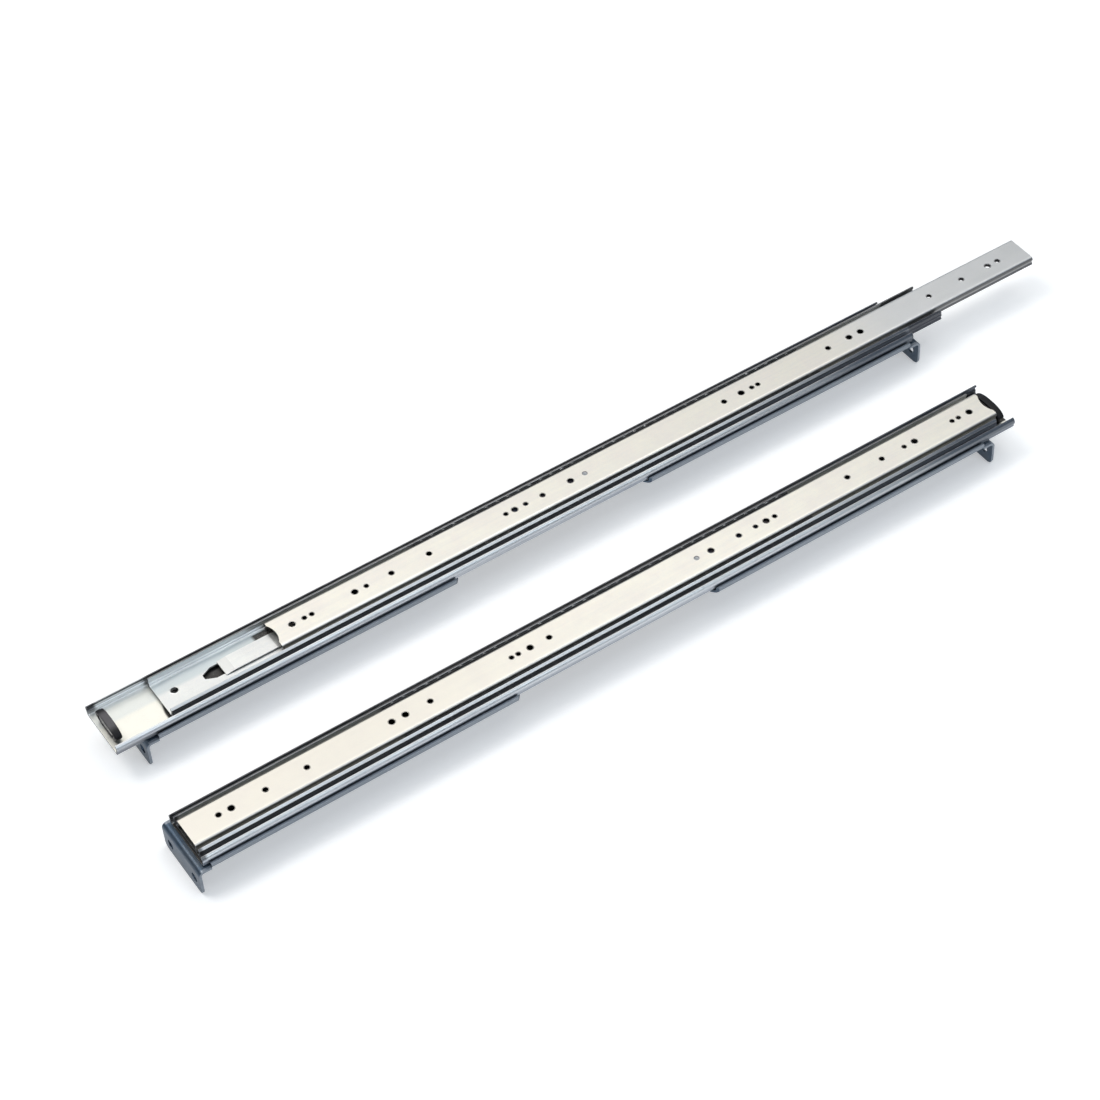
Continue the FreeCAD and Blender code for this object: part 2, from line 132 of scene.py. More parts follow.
lens = bpy.data.cameras.new("camera")
lens.sensor_width = SENSOR
lens.lens = FOCAL_LENGTH
camera = bpy.data.objects.new("camera", lens)
turned = Matrix((right, above, -ahead)).transposed().to_4x4()
camera.matrix_world = Matrix.Translation(EYE) @ turned
bpy.context.scene.collection.objects.link(camera)
bpy.context.scene.camera = camera
print("camera looks down by", round(math.degrees(ELEVATION), 1), "degrees through", FOCAL_LENGTH, "mm")

# %% [markdown]
# Materials are trees of nodes, and most of their lines of code only add a node and join
# it to the last one. Two helpers do the adding and the joining, and everything else in
# the trees is built on them.

# %% Helpers: nodes, groups and materials
def wire(tree, node, feeds):
    """Fills a node's inputs: another node's output is linked, and a plain value is set."""
    for key, value in feeds.items():
        if isinstance(value, bpy.types.NodeSocket):
            tree.links.new(value, node.inputs[key])
        else:
            node.inputs[key].default_value = value


def step(tree, kind, feeds=None, **choices):
    """Adds one node. choices are its own settings, and feeds fill its inputs."""
    made = tree.nodes.new("ShaderNode" + kind)
    for key, value in choices.items():
        setattr(made, key, value)
    wire(tree, made, feeds or {})
    return made


def group(name, inputs, outputs):
    """A new node group, its inputs as {name: first value} and its outputs as a list of names."""
    tree = bpy.data.node_groups.new(name, "ShaderNodeTree")
    for label, value in inputs.items():
        socket = tree.interface.new_socket(name=label, in_out="INPUT", socket_type="NodeSocketFloat")
        socket.default_value = value
    for label in outputs:
        tree.interface.new_socket(name=label, in_out="OUTPUT", socket_type="NodeSocketFloat")
    return tree, tree.nodes.new("NodeGroupInput").outputs, tree.nodes.new("NodeGroupOutput")


def place(tree, made, **values):
    """Puts a node group into a tree, with its own values, and gives its outputs."""
    return step(tree, "Group", values, node_tree=made).outputs


def material(name):
    """An empty material, its tree and its Principled shader."""
    made = bpy.data.materials.new(name)
    made.use_nodes = True
    return made, made.node_tree, made.node_tree.nodes["Principled BSDF"]


print("helpers for nodes ready")

# %% [markdown]
# A finish is mostly one question, asked again and again: where on the rail is this mark?
# The answer is a mask, a number from 0 to 1. Masks are multiplied where several things
# must be true at once, and a tone is painted wherever the mask is up. Python's own
# operators can't join nodes, so each step has a short name of its own.

# %% Helpers: masks and tones
def calc(tree, operation, *terms):
    """A Math node on one, two or three terms."""
    return step(tree, "Math", dict(enumerate(terms)), operation=operation).outputs[0]


def times(tree, *masks):
    """All the masks multiplied together, which is 1 only where every one of them is."""
    product = masks[0]
    for mask in masks[1:]:
        product = calc(tree, "MULTIPLY", product, mask)
    return product


def either(tree, first, second):
    """The larger of two masks."""
    return calc(tree, "MAXIMUM", first, second)


def invert(tree, mask):
    """1 where the mask is 0, and 0 where it is 1."""
    return calc(tree, "SUBTRACT", 1.0, mask)


def between(tree, mask, first, second):
    """A number that goes from first to second while the mask goes from 0 to 1."""
    return calc(tree, "MULTIPLY_ADD", mask, second - first, first)


def plus(tree, value, mask, amount):
    """The value, and the amount on top of it where the mask is 1."""
    return calc(tree, "MULTIPLY_ADD", mask, amount, value)


def ramp(tree, value, start, end):
    """0 before start, 1 after end, and a smooth S between; start may be the larger."""
    feeds = {"Value": value, "From Min": start, "From Max": end}
    return step(tree, "MapRange", feeds, interpolation_type="SMOOTHSTEP").outputs[0]


def mix(tree, mask, first, second):
    """The first colour where the mask is 0, and the second where it is 1."""
    first, second = (c + (1.0,) if isinstance(c, tuple) else c for c in (first, second))
    return step(tree, "Mix", {0: mask, 6: first, 7: second}, data_type="RGBA").outputs[2]


def coat(tree, color, tone, *masks):
    """Paints a tone over a colour, as strongly as the product of the masks."""
    return mix(tree, times(tree, *masks), color, tone)


print("helpers for masks ready")

# %% [markdown]
# The masks start from a few facts that the renderer knows about each point: where it is
# on its piece, which way the surface looks there, and what a noise pattern says. Object
# coordinates are used throughout, so a mark stays on its member when the member slides.

# %% Helpers: what a point knows
def position(tree):
    """Where a point is on its piece, in metres."""
    return step(tree, "TexCoord").outputs["Object"]


def normal(tree):
    """Which way the surface looks at a point."""
    return step(tree, "NewGeometry").outputs["Normal"]


def parts(tree, vector):
    """A vector's X, Y and Z, by name."""
    return step(tree, "SeparateXYZ", {0: vector}).outputs


def looks(tree, axis):
    """How squarely the surface looks along X, Y or Z, whichever way."""
    return calc(tree, "ABSOLUTE", parts(tree, normal(tree))[axis])


def noise(tree, spot, scale, detail, roughness=0.5):
    """Cloudy noise from 0 to 1; scale is about how many clouds there are to a metre."""
    feeds = {"Vector": spot, "Scale": scale, "Detail": detail, "Roughness": roughness}
    return step(tree, "TexNoise", feeds).outputs[0]


def relief(tree, height, microns):
    """Turns a pattern of heights from 0 to 1 into marks that many microns high."""
    feeds = {"Strength": 1.0, "Distance": microns * 0.000001, "Height": height}
    return step(tree, "Bump", feeds).outputs[0]


print("helpers for surfaces ready")

# %% [markdown]
# The room is a white table top under soft light, and the table is one wide plane. Under
# studio lamps a white card is brighter than a picture can hold. Here a faint glow of its
# own, which only the camera and reflections see, lifts it to white instead, so the lamps
# can stay at a plain level and still draw the shadows.

# %% Table top
TABLE_SIZE = 120.0
CARD = (0.80, 0.80, 0.80, 1)
GLOW = 0.39


def flat_grid(size, z):
    """A square of one face: the four corners at plus and minus half the size."""
    half = size / 2
    return np.array([[-half, -half, z], [half, -half, z], [half, half, z], [-half, half, z]])


table_mesh = bpy.data.meshes.new("table_top")
table_mesh.from_pydata(flat_grid(TABLE_SIZE, 0.0).tolist(), [], [(0, 1, 2, 3)])
table = bpy.data.objects.new("table_top", table_mesh)
bpy.context.scene.collection.objects.link(table)
table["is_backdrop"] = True

white, tree, shader = material("white_card")
wire(tree, shader, {"Base Color": CARD, "Roughness": 0.9, "Specular IOR Level": 0.0})
rays = step(tree, "LightPath").outputs
seen = either(tree, either(tree, rays["Is Camera Ray"], rays["Is Glossy Ray"]), rays["Is Transmission Ray"])
glow = step(tree, "Emission", {"Color": (1.0, 1.0, 1.0, 1), "Strength": times(tree, seen, GLOW)})
both = step(tree, "AddShader", {0: shader.outputs[0], 1: glow.outputs[0]})
wire(tree, tree.nodes["Material Output"], {"Surface": both.outputs[0]})
table_mesh.materials.append(white)
print("table top", table.dimensions[:])

# %% [markdown]
# Bright steel is a mirror out of focus, so what lights a rail is less the lamp than what
# the steel sees. The flat faces mirror the sky box, a broad soft light behind the rails
# and to the right, which turns them creamy white. A box overhead and a cooler one in
# front show as thin pale lines in the rounded near lips. The key, high at the back left,
# throws the shadows forward and to the right, and a dim blue room fills the rest.

# %% Lights
ROOM_TINT, ROOM_GLOW = (0.60, 0.72, 0.86, 1), 0.28


def soft_box(name, heading, elevation, distance, size, glow, tint):
    """An area lamp on a dome: heading turns from +Y towards +X; glow is its brightness per area."""
    h, e = math.radians(heading), math.radians(elevation)
    way = Vector((math.sin(h) * math.cos(e), math.cos(h) * math.cos(e), math.sin(e)))
    lamp = bpy.data.lights.new(name, "AREA")
    lamp.shape = "RECTANGLE"
    lamp.size, lamp.size_y = size
    lamp.energy = glow * math.pi * size[0] * size[1]
    lamp.color = tint
    holder = bpy.data.objects.new(name, lamp)
    facing = way.to_track_quat("Z", "Y").to_matrix().to_4x4()
    holder.matrix_world = Matrix.Translation(way * distance) @ facing
    bpy.context.scene.collection.objects.link(holder)
    print(name, round(lamp.energy, 1), "W")


soft_box("sky_box", 41, 60, 2.6, (2.8, 1.7), 1.05, (1.0, 0.957, 0.885))
soft_box("top_box", 90, 84, 2.1, (1.7, 1.6), 1.15, (0.96, 0.98, 1.0))
soft_box("key_box", -48, 60, 3.0, (1.2, 1.2), 7.2, (1.0, 0.98, 0.95))
soft_box("fill_box", 166, 42, 2.75, (1.5, 1.3), 2.2, (0.80, 0.90, 1.0))

world = bpy.data.worlds.new("room")
world.use_nodes = True
wire(world.node_tree, world.node_tree.nodes["Background"], {"Color": ROOM_TINT, "Strength": ROOM_GLOW})
bpy.context.scene.world = world
bpy.context.scene.view_settings.view_transform = "Standard"

# %% [markdown]
# Sheet steel is rolled, so its finest marks all run one way. A noise pattern whose
# coordinates are squeezed along X and spread across it becomes long thin streaks. They
# drive a little roughness and a very shallow bump, which together pull highlights out
# along the rail as real rolling marks do.

# %% Node group: rolled grain
rolled_grain, given, wanted = group("rolled grain", {"Along": 14.0, "Across": 2400.0}, ["Streak", "Broad"])
tree = rolled_grain
rates = step(tree, "CombineXYZ", {0: given["Along"], 1: given["Across"], 2: given["Across"]}).outputs[0]
fine = step(tree, "VectorMath", {0: position(tree), 1: rates}, operation="MULTIPLY").outputs[0]
wide = step(tree, "VectorMath", {0: fine, 1: (0.35, 0.16, 0.16)}, operation="MULTIPLY").outputs[0]
streak = ramp(tree, noise(tree, fine, 1.0, 3.0, 0.6), 0.30, 0.70)
broad = ramp(tree, noise(tree, wide, 1.0, 2.0), 0.32, 0.68)
wire(tree, wanted, {"Streak": streak, "Broad": broad})
print(rolled_grain.name, [socket.name for socket in rolled_grain.interface.items_tree])

# %% [markdown]
# Zinc plate is never one colour. It clouds over in patches a couple of centimetres wide,
# and close up it shows crystals about a millimetre across. Noise gives the clouds, and a
# Voronoi pattern gives each crystal its own level.

# %% Node group: zinc bloom
zinc_bloom, given, wanted = group("zinc bloom", {"Cloud": 55.0, "Crystal": 850.0}, ["Patch", "Spangle"])
tree = zinc_bloom
spot = position(tree)
patch = ramp(tree, noise(tree, spot, given["Cloud"], 4.0, 0.55), 0.35, 0.68)
cells = step(tree, "TexVoronoi", {"Vector": spot, "Scale": given["Crystal"]}).outputs["Color"]
spangle = step(tree, "SeparateColor", {0: cells}).outputs[0]
wire(tree, wanted, {"Patch": patch, "Spangle": spangle})
print(zinc_bloom.name, "ready")

# %% [markdown]
# Many marks on a rail follow its cross-section: grease lies in the ball races, and painted
# shade darkens the lips and the outer walls. So one group measures where a point is across
# its rail and how far below the top face, both in millimetres, and passes X on in metres.
# Both rails lie at the same distance either side of Y = 0, so the absolute value of Y, less
# that distance, serves the two at once. Far is 1 on the half of a rail that lies towards
# +Y, and Left is 1 on the left rail.

# %% Node group: place across the rail
rail_place, given, wanted = group("place across the rail", {"Middle": abs(middle("left")), "Top": TOP},
                                  ["X", "Across", "Depth", "Far", "Left"])
tree = rail_place
axes = parts(tree, position(tree))
from_middle = calc(tree, "SUBTRACT", calc(tree, "ABSOLUTE", axes["Y"]), given["Middle"])
towards_y = times(tree, calc(tree, "SIGN", axes["Y"]), from_middle)
below_top = calc(tree, "SUBTRACT", given["Top"], axes["Z"])
wire(tree, wanted, {"X": axes["X"],
                    "Across": times(tree, calc(tree, "ABSOLUTE", from_middle), 1 / MM),
                    "Depth": times(tree, below_top, 1 / MM),
                    "Far": calc(tree, "GREATER_THAN", towards_y, 0.0),
                    "Left": calc(tree, "GREATER_THAN", axes["Y"], 0.0)})
print(rail_place.name, "in mm")

# %% [markdown]
# Handling polishes the corners of a plated part. The Bevel node returns the normal that a
# rounded edge would have; where that differs from the true normal, there is an edge. A
# little noise breaks the line, so the wear comes and goes.

# %% Node group: edge wear
edge_wear, given, wanted = group("edge wear", {"Radius": 0.0006, "Patchiness": 160.0}, ["Wear"])
tree = edge_wear
rounded = step(tree, "Bevel", {"Radius": given["Radius"]}, samples=3).outputs[0]
same = step(tree, "VectorMath", {0: rounded, 1: normal(tree)}, operation="DOT_PRODUCT").outputs["Value"]
broken = ramp(tree, noise(tree, position(tree), given["Patchiness"], 3.0), 0.30, 0.62)
wire(tree, wanted, {"Wear": times(tree, ramp(tree, same, 0.992, 0.93), broken)})
print(edge_wear.name, "ready")

# %% [markdown]
# Dust settles only on faces that look up, thicker in some places than in others. The Z of
# the normal finds those faces, and noise at two sizes sets how much has settled.

# %% Node group: settled dust
settled_dust, given, wanted = group("settled dust", {"Amount": 0.3}, ["Dust"])
tree = settled_dust
spot = position(tree)
drift = ramp(tree, noise(tree, spot, 38.0, 5.0, 0.7), 0.40, 0.75)
grit = ramp(tree, noise(tree, spot, 1600.0, 2.0), 0.42, 0.66)
facing_up = ramp(tree, parts(tree, normal(tree))["Z"], 0.55, 0.95)
wire(tree, wanted, {"Dust": times(tree, drift, grit, facing_up, given["Amount"])})
print(settled_dust.name, "ready")

# %% [markdown]
# The inner members carry the brightest finish: bright zinc, rolled along the rail. The
# flat face is clean and creamy, with faint warm clouds. The right rail's front half is a
# little duller, and the left member's front end, which stands drawn out, is a cooler
# grey. Both masks run along X, and Left says which rail each belongs to.

# %% Finish: bright zinc, the flat face
FINISH = {}
FINISH["bright_zinc"], tree, shader = material("bright_zinc")
grain, bloom, where = place(tree, rolled_grain), place(tree, zinc_bloom), place(tree, rail_place)
x, across, depth, far, on_left = (where[label] for label in ("X", "Across", "Depth", "Far", "Left"))
color = mix(tree, bloom["Patch"], (0.94, 0.90, 0.80), (0.91, 0.855, 0.78))
color = coat(tree, color, (0.80, 0.81, 0.80), bloom["Spangle"], 0.22)
color = coat(tree, color, (0.72, 0.72, 0.71), grain["Broad"], 0.16)
dull_rear = times(tree, ramp(tree, x, 0.02, -0.30), between(tree, on_left, 0.75, 0.0))
color = coat(tree, color, (0.745, 0.705, 0.635), dull_rear)
drawn_out = ramp(tree, x, 0.20, 0.28)
color = coat(tree, color, (0.79, 0.80, 0.82), drawn_out, on_left, 0.75)
print("bright zinc face has", len(tree.nodes), "nodes")

# %% [markdown]
# The member's rounded edges and the races under them carry dark grease, and painted shade
# there draws a dark line down both sides. It starts a little below the top face. On the
# far side it is thinner, and a painted shade reaches up onto the edge of the flat. Cut ends
# and the bores of the holes are painted dark as shade, and so is a thin ring round each
# hole, where its rim stands a little proud.

# %% Finish: bright zinc, grease, painted shade and holes
wear, dust = place(tree, edge_wear, Radius=0.0005), place(tree, settled_dust, Amount=0.25)
# Painted shade: the far edge of the flat is darkened, except where the member is drawn out.
far_edge_shade = times(tree, far, between(tree, drawn_out, 0.95, 0.0), ramp(tree, across, 10.9, 11.9))
color = coat(tree, color, (0.12, 0.11, 0.10), far_edge_shade, 0.70)
# Grease and painted shade: a dark line on the rounded edges and races, weaker on the far side.
grease_top = between(tree, drawn_out, 0.25, -0.05)
low_enough = ramp(tree, depth, grease_top, calc(tree, "ADD", grease_top, 0.8))
grease_and_shade = times(tree, ramp(tree, across, 11.6, 12.7), low_enough, between(tree, far, 0.82, 0.35))
color = coat(tree, color, (0.050, 0.047, 0.045), grease_and_shade)
color = coat(tree, color, (0.95, 0.94, 0.92), wear["Wear"], 0.35)
# Painted shade: faces that look straight along the rail, the cut ends, are painted dark.
color = coat(tree, color, (0.10, 0.10, 0.11), ramp(tree, looks(tree, "X"), 0.7, 0.9))
# Painted shade: the hole bores, and a thin ring on each rim's proud crown, are painted dark.
bore = times(tree, ramp(tree, looks(tree, "Z"), 0.6, 0.3), ramp(tree, across, 11.0, 10.0))
proud = times(tree, ramp(tree, depth, -0.008, -0.022), 0.9)
color = coat(tree, color, (0.035, 0.033, 0.035), either(tree, bore, proud))
color = coat(tree, color, (0.66, 0.64, 0.60), dust["Dust"])
rough = between(tree, grain["Streak"], 0.30, 0.40)
for mask, amount in ((bloom["Patch"], 0.05), (dust["Dust"], 0.35), (grease_and_shade, 0.18)):
    rough = plus(tree, rough, mask, amount)
wire(tree, shader, {"Base Color": color, "Roughness": rough, "Metallic": 0.86,
                    "Normal": relief(tree, grain["Streak"], 4)})
print("bright zinc has", len(tree.nodes), "nodes")

# %% [markdown]
# The outer and intermediate members are plated too, but each part of their section has
# a tone of its own: some is wear and dust, and much is painted light and shade. Their
# finish is one tree, built over the next cells from the inside outwards. The channel floors
# come first: they stay bright, warm on the outer member's low floor, and cooler on the half
# that lies towards +Y, a painted shade and reflection from the far wall.

# %% Finish: zinc steel, plate and floors
FINISH["zinc_steel"], tree, shader = material("zinc_steel")
grain, bloom = place(tree, rolled_grain, Across=2000.0), place(tree, zinc_bloom, Cloud=40.0)
where = place(tree, rail_place)
x, across, depth, far, on_left = (where[label] for label in ("X", "Across", "Depth", "Far", "Left"))
on_right = invert(tree, on_left)
color = mix(tree, bloom["Patch"], (0.88, 0.88, 0.85), (0.84, 0.83, 0.81))
color = coat(tree, color, (0.72, 0.75, 0.77), bloom["Spangle"], 0.25)
color = coat(tree, color, (0.62, 0.65, 0.68), grain["Broad"], 0.18)
low_floor = times(tree, ramp(tree, depth, 10.6, 11.1), ramp(tree, across, 19.0, 18.0))
high_floor = times(tree, ramp(tree, depth, 7.7, 7.9), ramp(tree, depth, 8.7, 8.3),
                   ramp(tree, across, 14.5, 13.5))
# Painted shade and reflection: floors are cooler and darker on the half towards +Y.
far_half_shade = times(tree, far, ramp(tree, across, 2.5, 6.5))
color = coat(tree, color, (0.96, 0.935, 0.84), low_floor, 0.8)
color = coat(tree, color, (0.58, 0.635, 0.65), high_floor, far_half_shade, 0.85)
color = coat(tree, color, (0.70, 0.745, 0.75), low_floor, far_half_shade, 0.55)
print("zinc steel floors have", len(tree.nodes), "nodes")

# %% [markdown]
# Next come the lips, which wrap round the balls. The intermediate member's lip and the
# outer one's curl are painted dark, as shade. It is strong on the far side, and towards
# the high end of X, where the highlights on the lips fade. Only the left outer member's
# rear end, which the intermediate one has slid away from, is left unshaded. The gap
# between the two is painted dark as shade all along.

# %% Finish: zinc steel, lips and gap
LEFT_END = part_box("left_intermediate_member")[0].x
RIGHT_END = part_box("right_intermediate_member")[1].x
# Painted shade: the lip and the curl darken on the far side and towards high X, not at the left rear end.
lip = times(tree, ramp(tree, across, 15.5, 15.9), ramp(tree, depth, 2.3, 1.9))
unshaded_end = times(tree, on_left, ramp(tree, x, LEFT_END + 0.002, LEFT_END - 0.004))
curl = times(tree, ramp(tree, across, 19.7, 20.1), ramp(tree, depth, 4.9, 4.4),
             between(tree, unshaded_end, 1.0, 0.08))
high_x_ramp, high_x_step = ramp(tree, x, 0.0, 0.26), ramp(tree, x, 0.17, 0.24)
near_lip_shade = plus(tree, times(tree, high_x_step, 0.22), high_x_ramp, 0.72)
lip_shade = either(tree, between(tree, far, 0.20, 0.95), near_lip_shade)
lip_shade_tone = mix(tree, far, (0.088, 0.098, 0.120), (0.090, 0.080, 0.078))
color = coat(tree, color, lip_shade_tone, either(tree, lip, curl), lip_shade)
# Painted shade: the gap between the members is painted dark, a little less dark towards high X.
gap = times(tree, ramp(tree, across, 16.9, 17.4), ramp(tree, across, 20.6, 20.3),
            ramp(tree, depth, 1.9, 2.5), ramp(tree, depth, 10.9, 10.3))
gap_shade_tone = mix(tree, high_x_ramp, (0.115, 0.113, 0.118), (0.19, 0.20, 0.23))
color = coat(tree, color, gap_shade_tone, gap)
print("zinc steel with its lips has", len(tree.nodes), "nodes")

# %% [markdown]
# The tips of the outer members are painted with dark patches of shade: along the right
# rail's far race behind the intermediate member, and on the last few millimetres of both
# rails at the low end of X.

# %% Finish: zinc steel, shaded tips
RIGHT_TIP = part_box("right_outer_member")[0].x
LEFT_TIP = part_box("left_outer_member")[0].x
# Painted shade: dark patches on the right far race behind the intermediate member and at the low-X tips.
on_race = ramp(tree, across, 18.5, 19.5)
far_rear_shade = times(tree, far, on_right, ramp(tree, x, RIGHT_END - 0.002, RIGHT_END + 0.001), on_race)
right_tip = times(tree, on_right, ramp(tree, x, RIGHT_TIP + 0.0050, RIGHT_TIP + 0.0020))
left_tip = times(tree, on_left, far, ramp(tree, x, LEFT_TIP + 0.0075, LEFT_TIP + 0.0045), on_race)
tip_shade = times(tree, either(tree, right_tip, left_tip), ramp(tree, depth, 10.0, 8.5), 0.85)
color = coat(tree, color, (0.045, 0.045, 0.050), either(tree, far_rear_shade, tip_shade))
print("zinc steel with its tips has", len(tree.nodes), "nodes")

# %% [markdown]
# The walls outside are painted darker and bluer lower down, as shade, most of all towards
# the high end of X and at the left rail's low-X end, and their lower bend is painted
# pale, as light. Above the bend, a rounded shoulder is painted darker towards the high
# end of X. The part of the intermediate member that is drawn out beyond the left outer
# one has its races painted nearly black, as shade.

# %% Finish: zinc steel, outer walls
OUTER_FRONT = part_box("left_outer_member")[1].x
# Painted shade: the outer walls darken lower down, towards high X, and at the left rail's low-X end.
wall = times(tree, ramp(tree, across, 21.65, 21.85), ramp(tree, depth, 4.0, 6.5),
             between(tree, grain["Broad"], 0.75, 1.0))
wall_shade_tone = mix(tree, ramp(tree, depth, 5.0, 10.5), (0.52, 0.55, 0.60), (0.30, 0.33, 0.38))
wall_shade_tone = coat(tree, wall_shade_tone, (0.11, 0.13, 0.16), high_x_ramp, 0.85)
rear_wall_shade = times(tree, on_left, ramp(tree, x, -0.30, -0.35), ramp(tree, depth, 5.5, 8.0))
wall_shade_tone = coat(tree, wall_shade_tone, (0.10, 0.11, 0.13), rear_wall_shade, 0.75)
# Painted light: the lower bend is painted pale, and its Metallic is brought down below.
bend_light = times(tree, ramp(tree, across, 20.6, 21.0), ramp(tree, depth, 10.6, 11.5),
             between(tree, rear_wall_shade, 1.0, 0.1))
color = coat(tree, color, wall_shade_tone, wall)
color = coat(tree, color, (0.74, 0.77, 0.82), bend_light)
# Painted shade: the shoulder above the bend darkens towards high X.
shoulder_shade = times(tree, ramp(tree, across, 19.5, 20.2), ramp(tree, depth, 8.0, 6.5), high_x_step)
color = coat(tree, color, (0.100, 0.115, 0.140), shoulder_shade, 0.75)
# Painted shade: races drawn out past the left outer member are painted nearly black.
drawn_race_shade = times(tree, on_left, ramp(tree, x, OUTER_FRONT - 0.002, OUTER_FRONT + 0.001),
                   ramp(tree, across, 14.5, 15.5))
race_shade_tone = mix(tree, far, (0.065, 0.066, 0.075), (0.022, 0.020, 0.020))
color = coat(tree, color, race_shade_tone, drawn_race_shade, 0.85)
print("zinc steel with its walls has", len(tree.nodes), "nodes")

# %% [markdown]
# Where a member rests over another, the floor below it is painted dark, as grease and as
# the shade under the member. Each floor has such a track, which ends where the member
# above it does. The ends are not cut off square: a slanting edge is made by shifting X a
# little across the rail.

# %% Finish: zinc steel, grease and shade tracks
INNER_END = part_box("left_inner_member")[0].x
# Grease and painted shade: floors under a member above are painted dark, a little past its end.
slant = times(tree, invert(tree, far), ramp(tree, across, -3.0, 11.0))
slanted_x = calc(tree, "ADD", x, between(tree, slant, 0.0008, 0.0032))
left_track = times(tree, on_left, ramp(tree, slanted_x, LEFT_END + 0.0005, LEFT_END + 0.0020))
right_track = times(tree, on_right, ramp(tree, x, RIGHT_END - 0.001, RIGHT_END - 0.004))
low_track_shade = times(tree, calc(tree, "ADD", left_track, right_track), ramp(tree, depth, 10.9, 11.3),
                  ramp(tree, across, 20.5, 19.0))
spread = plus(tree, x, times(tree, far, ramp(tree, across, 2.0, 9.0)), 0.0130)
under_inner = times(tree, on_left, ramp(tree, spread, INNER_END + 0.001, INNER_END + 0.004))
high_track_shade = times(tree, either(tree, under_inner, on_right), ramp(tree, depth, 7.6, 7.8),
                   ramp(tree, across, 14.0, 13.0))
color = coat(tree, color, (0.06, 0.057, 0.055), either(tree, low_track_shade, high_track_shade))
print("zinc steel with its tracks has", len(tree.nodes), "nodes")

# %% [markdown]
# Last come the edges, the ends and the dust. A face that looks even slightly along the
# rail, such as a chamfer or the bend of a cut, gets a greyer tone, a painted shade that
# dims its glint; one that looks straight along it, a sheared end, is painted dark as shade.
# The painted pale bends and the dark gaps mirror less than plate does, so they also bring
# Metallic down.

# %% Finish: zinc steel, edges and shader
wear, dust = place(tree, edge_wear, Radius=0.0005), place(tree, settled_dust, Amount=0.3)
endways = looks(tree, "X")
color = coat(tree, color, (0.86, 0.88, 0.90), wear["Wear"], 0.4)
# Painted shade: a greyer tone dims the glint of slanted faces; faces straight along the rail go dark.
color = coat(tree, color, (0.72, 0.72, 0.70), ramp(tree, endways, 0.06, 0.14))
color = coat(tree, color, (0.035, 0.038, 0.045), ramp(tree, endways, 0.7, 0.9))
color = coat(tree, color, (0.62, 0.61, 0.58), dust["Dust"])
rough = between(tree, grain["Streak"], 0.30, 0.42)
for mask, amount in ((bloom["Patch"], 0.06), (dust["Dust"], 0.35)):
    rough = plus(tree, rough, mask, amount)
metal = between(tree, either(tree, bend_light, times(tree, gap, 0.6)), 0.88, 0.33)
wire(tree, shader, {"Base Color": color, "Roughness": rough, "Metallic": metal,
                    "Normal": relief(tree, grain["Streak"], 5)})
print("zinc steel has", len(tree.nodes), "nodes")

# %% [markdown]
# The brackets are thicker sheet with a dark slate-blue passivated finish. It is thin, so
# edges that are knocked show paler steel, and clouds of a bluer and a greyer tone drift
# across the ears. The strips beside the rail are painted a paler grey, as light, and made
# less metallic.

# %% Finish: bracket steel
FINISH["bracket_steel"], tree, shader = material("bracket_steel")
grain = place(tree, rolled_grain, Along=30.0, Across=1500.0)
bloom = place(tree, zinc_bloom, Cloud=75.0, Crystal=700.0)
wear, dust = place(tree, edge_wear, Radius=0.0007), place(tree, settled_dust, Amount=0.35)
across = place(tree, rail_place)["Across"]
color = mix(tree, bloom["Patch"], (0.070, 0.105, 0.150), (0.100, 0.125, 0.155))
color = coat(tree, color, (0.050, 0.070, 0.105), bloom["Spangle"], 0.30)
# Painted light: the flanks beside the rail are painted paler and made less metallic.
flank_light = times(tree, ramp(tree, looks(tree, "X"), 0.6, 0.3), ramp(tree, across, 22.6, 22.9),
               between(tree, grain["Broad"], 0.70, 0.95))
color = coat(tree, color, (0.30, 0.33, 0.37), flank_light)
color = coat(tree, color, (0.38, 0.44, 0.50), wear["Wear"], 0.55)
color = coat(tree, color, (0.36, 0.37, 0.37), dust["Dust"])
rough = plus(tree, between(tree, grain["Streak"], 0.36, 0.48), dust["Dust"], 0.3)
wire(tree, shader, {"Base Color": color, "Roughness": rough, "Metallic": between(tree, flank_light, 0.80, 0.30),
                    "Normal": relief(tree, grain["Streak"], 8)})
print("bracket steel has", len(tree.nodes), "nodes")

# %% [markdown]
# Rivets, studs, nuts, washers and stops are turned or headed from wire and barrel plated,
# which leaves them an even, duller grey with small dark pits. The stop posts stand in the
# way of whatever the slides push along, so their faces that look along the rail are oily.

# %% Finish: dull steel
FINISH["dull_steel"], tree, shader = material("dull_steel")
bloom = place(tree, zinc_bloom, Cloud=260.0, Crystal=1900.0)
wear, depth = place(tree, edge_wear, Radius=0.0003, Patchiness=600.0), place(tree, rail_place)["Depth"]
color = mix(tree, bloom["Patch"], (0.44, 0.45, 0.46), (0.34, 0.35, 0.37))
color = coat(tree, color, (0.12, 0.12, 0.12), ramp(tree, bloom["Spangle"], 0.86, 0.98), 0.6)
color = coat(tree, color, (0.70, 0.70, 0.70), wear["Wear"], 0.6)
oily = times(tree, ramp(tree, looks(tree, "X"), 0.3, 0.6), ramp(tree, depth, 10.0, 9.0))
color = coat(tree, color, (0.085, 0.080, 0.080), oily, 0.9)
wire(tree, shader, {"Base Color": color, "Roughness": between(tree, bloom["Patch"], 0.36, 0.50),
                    "Metallic": 0.85, "Normal": relief(tree, bloom["Spangle"], 10)})
print("dull steel has", len(tree.nodes), "nodes")

# %% [markdown]
# The release lever is blued spring steel: heat leaves a thin oxide that is nearly black
# with a blue and a brown cast. Through the chassis holes above it, it reads as black.

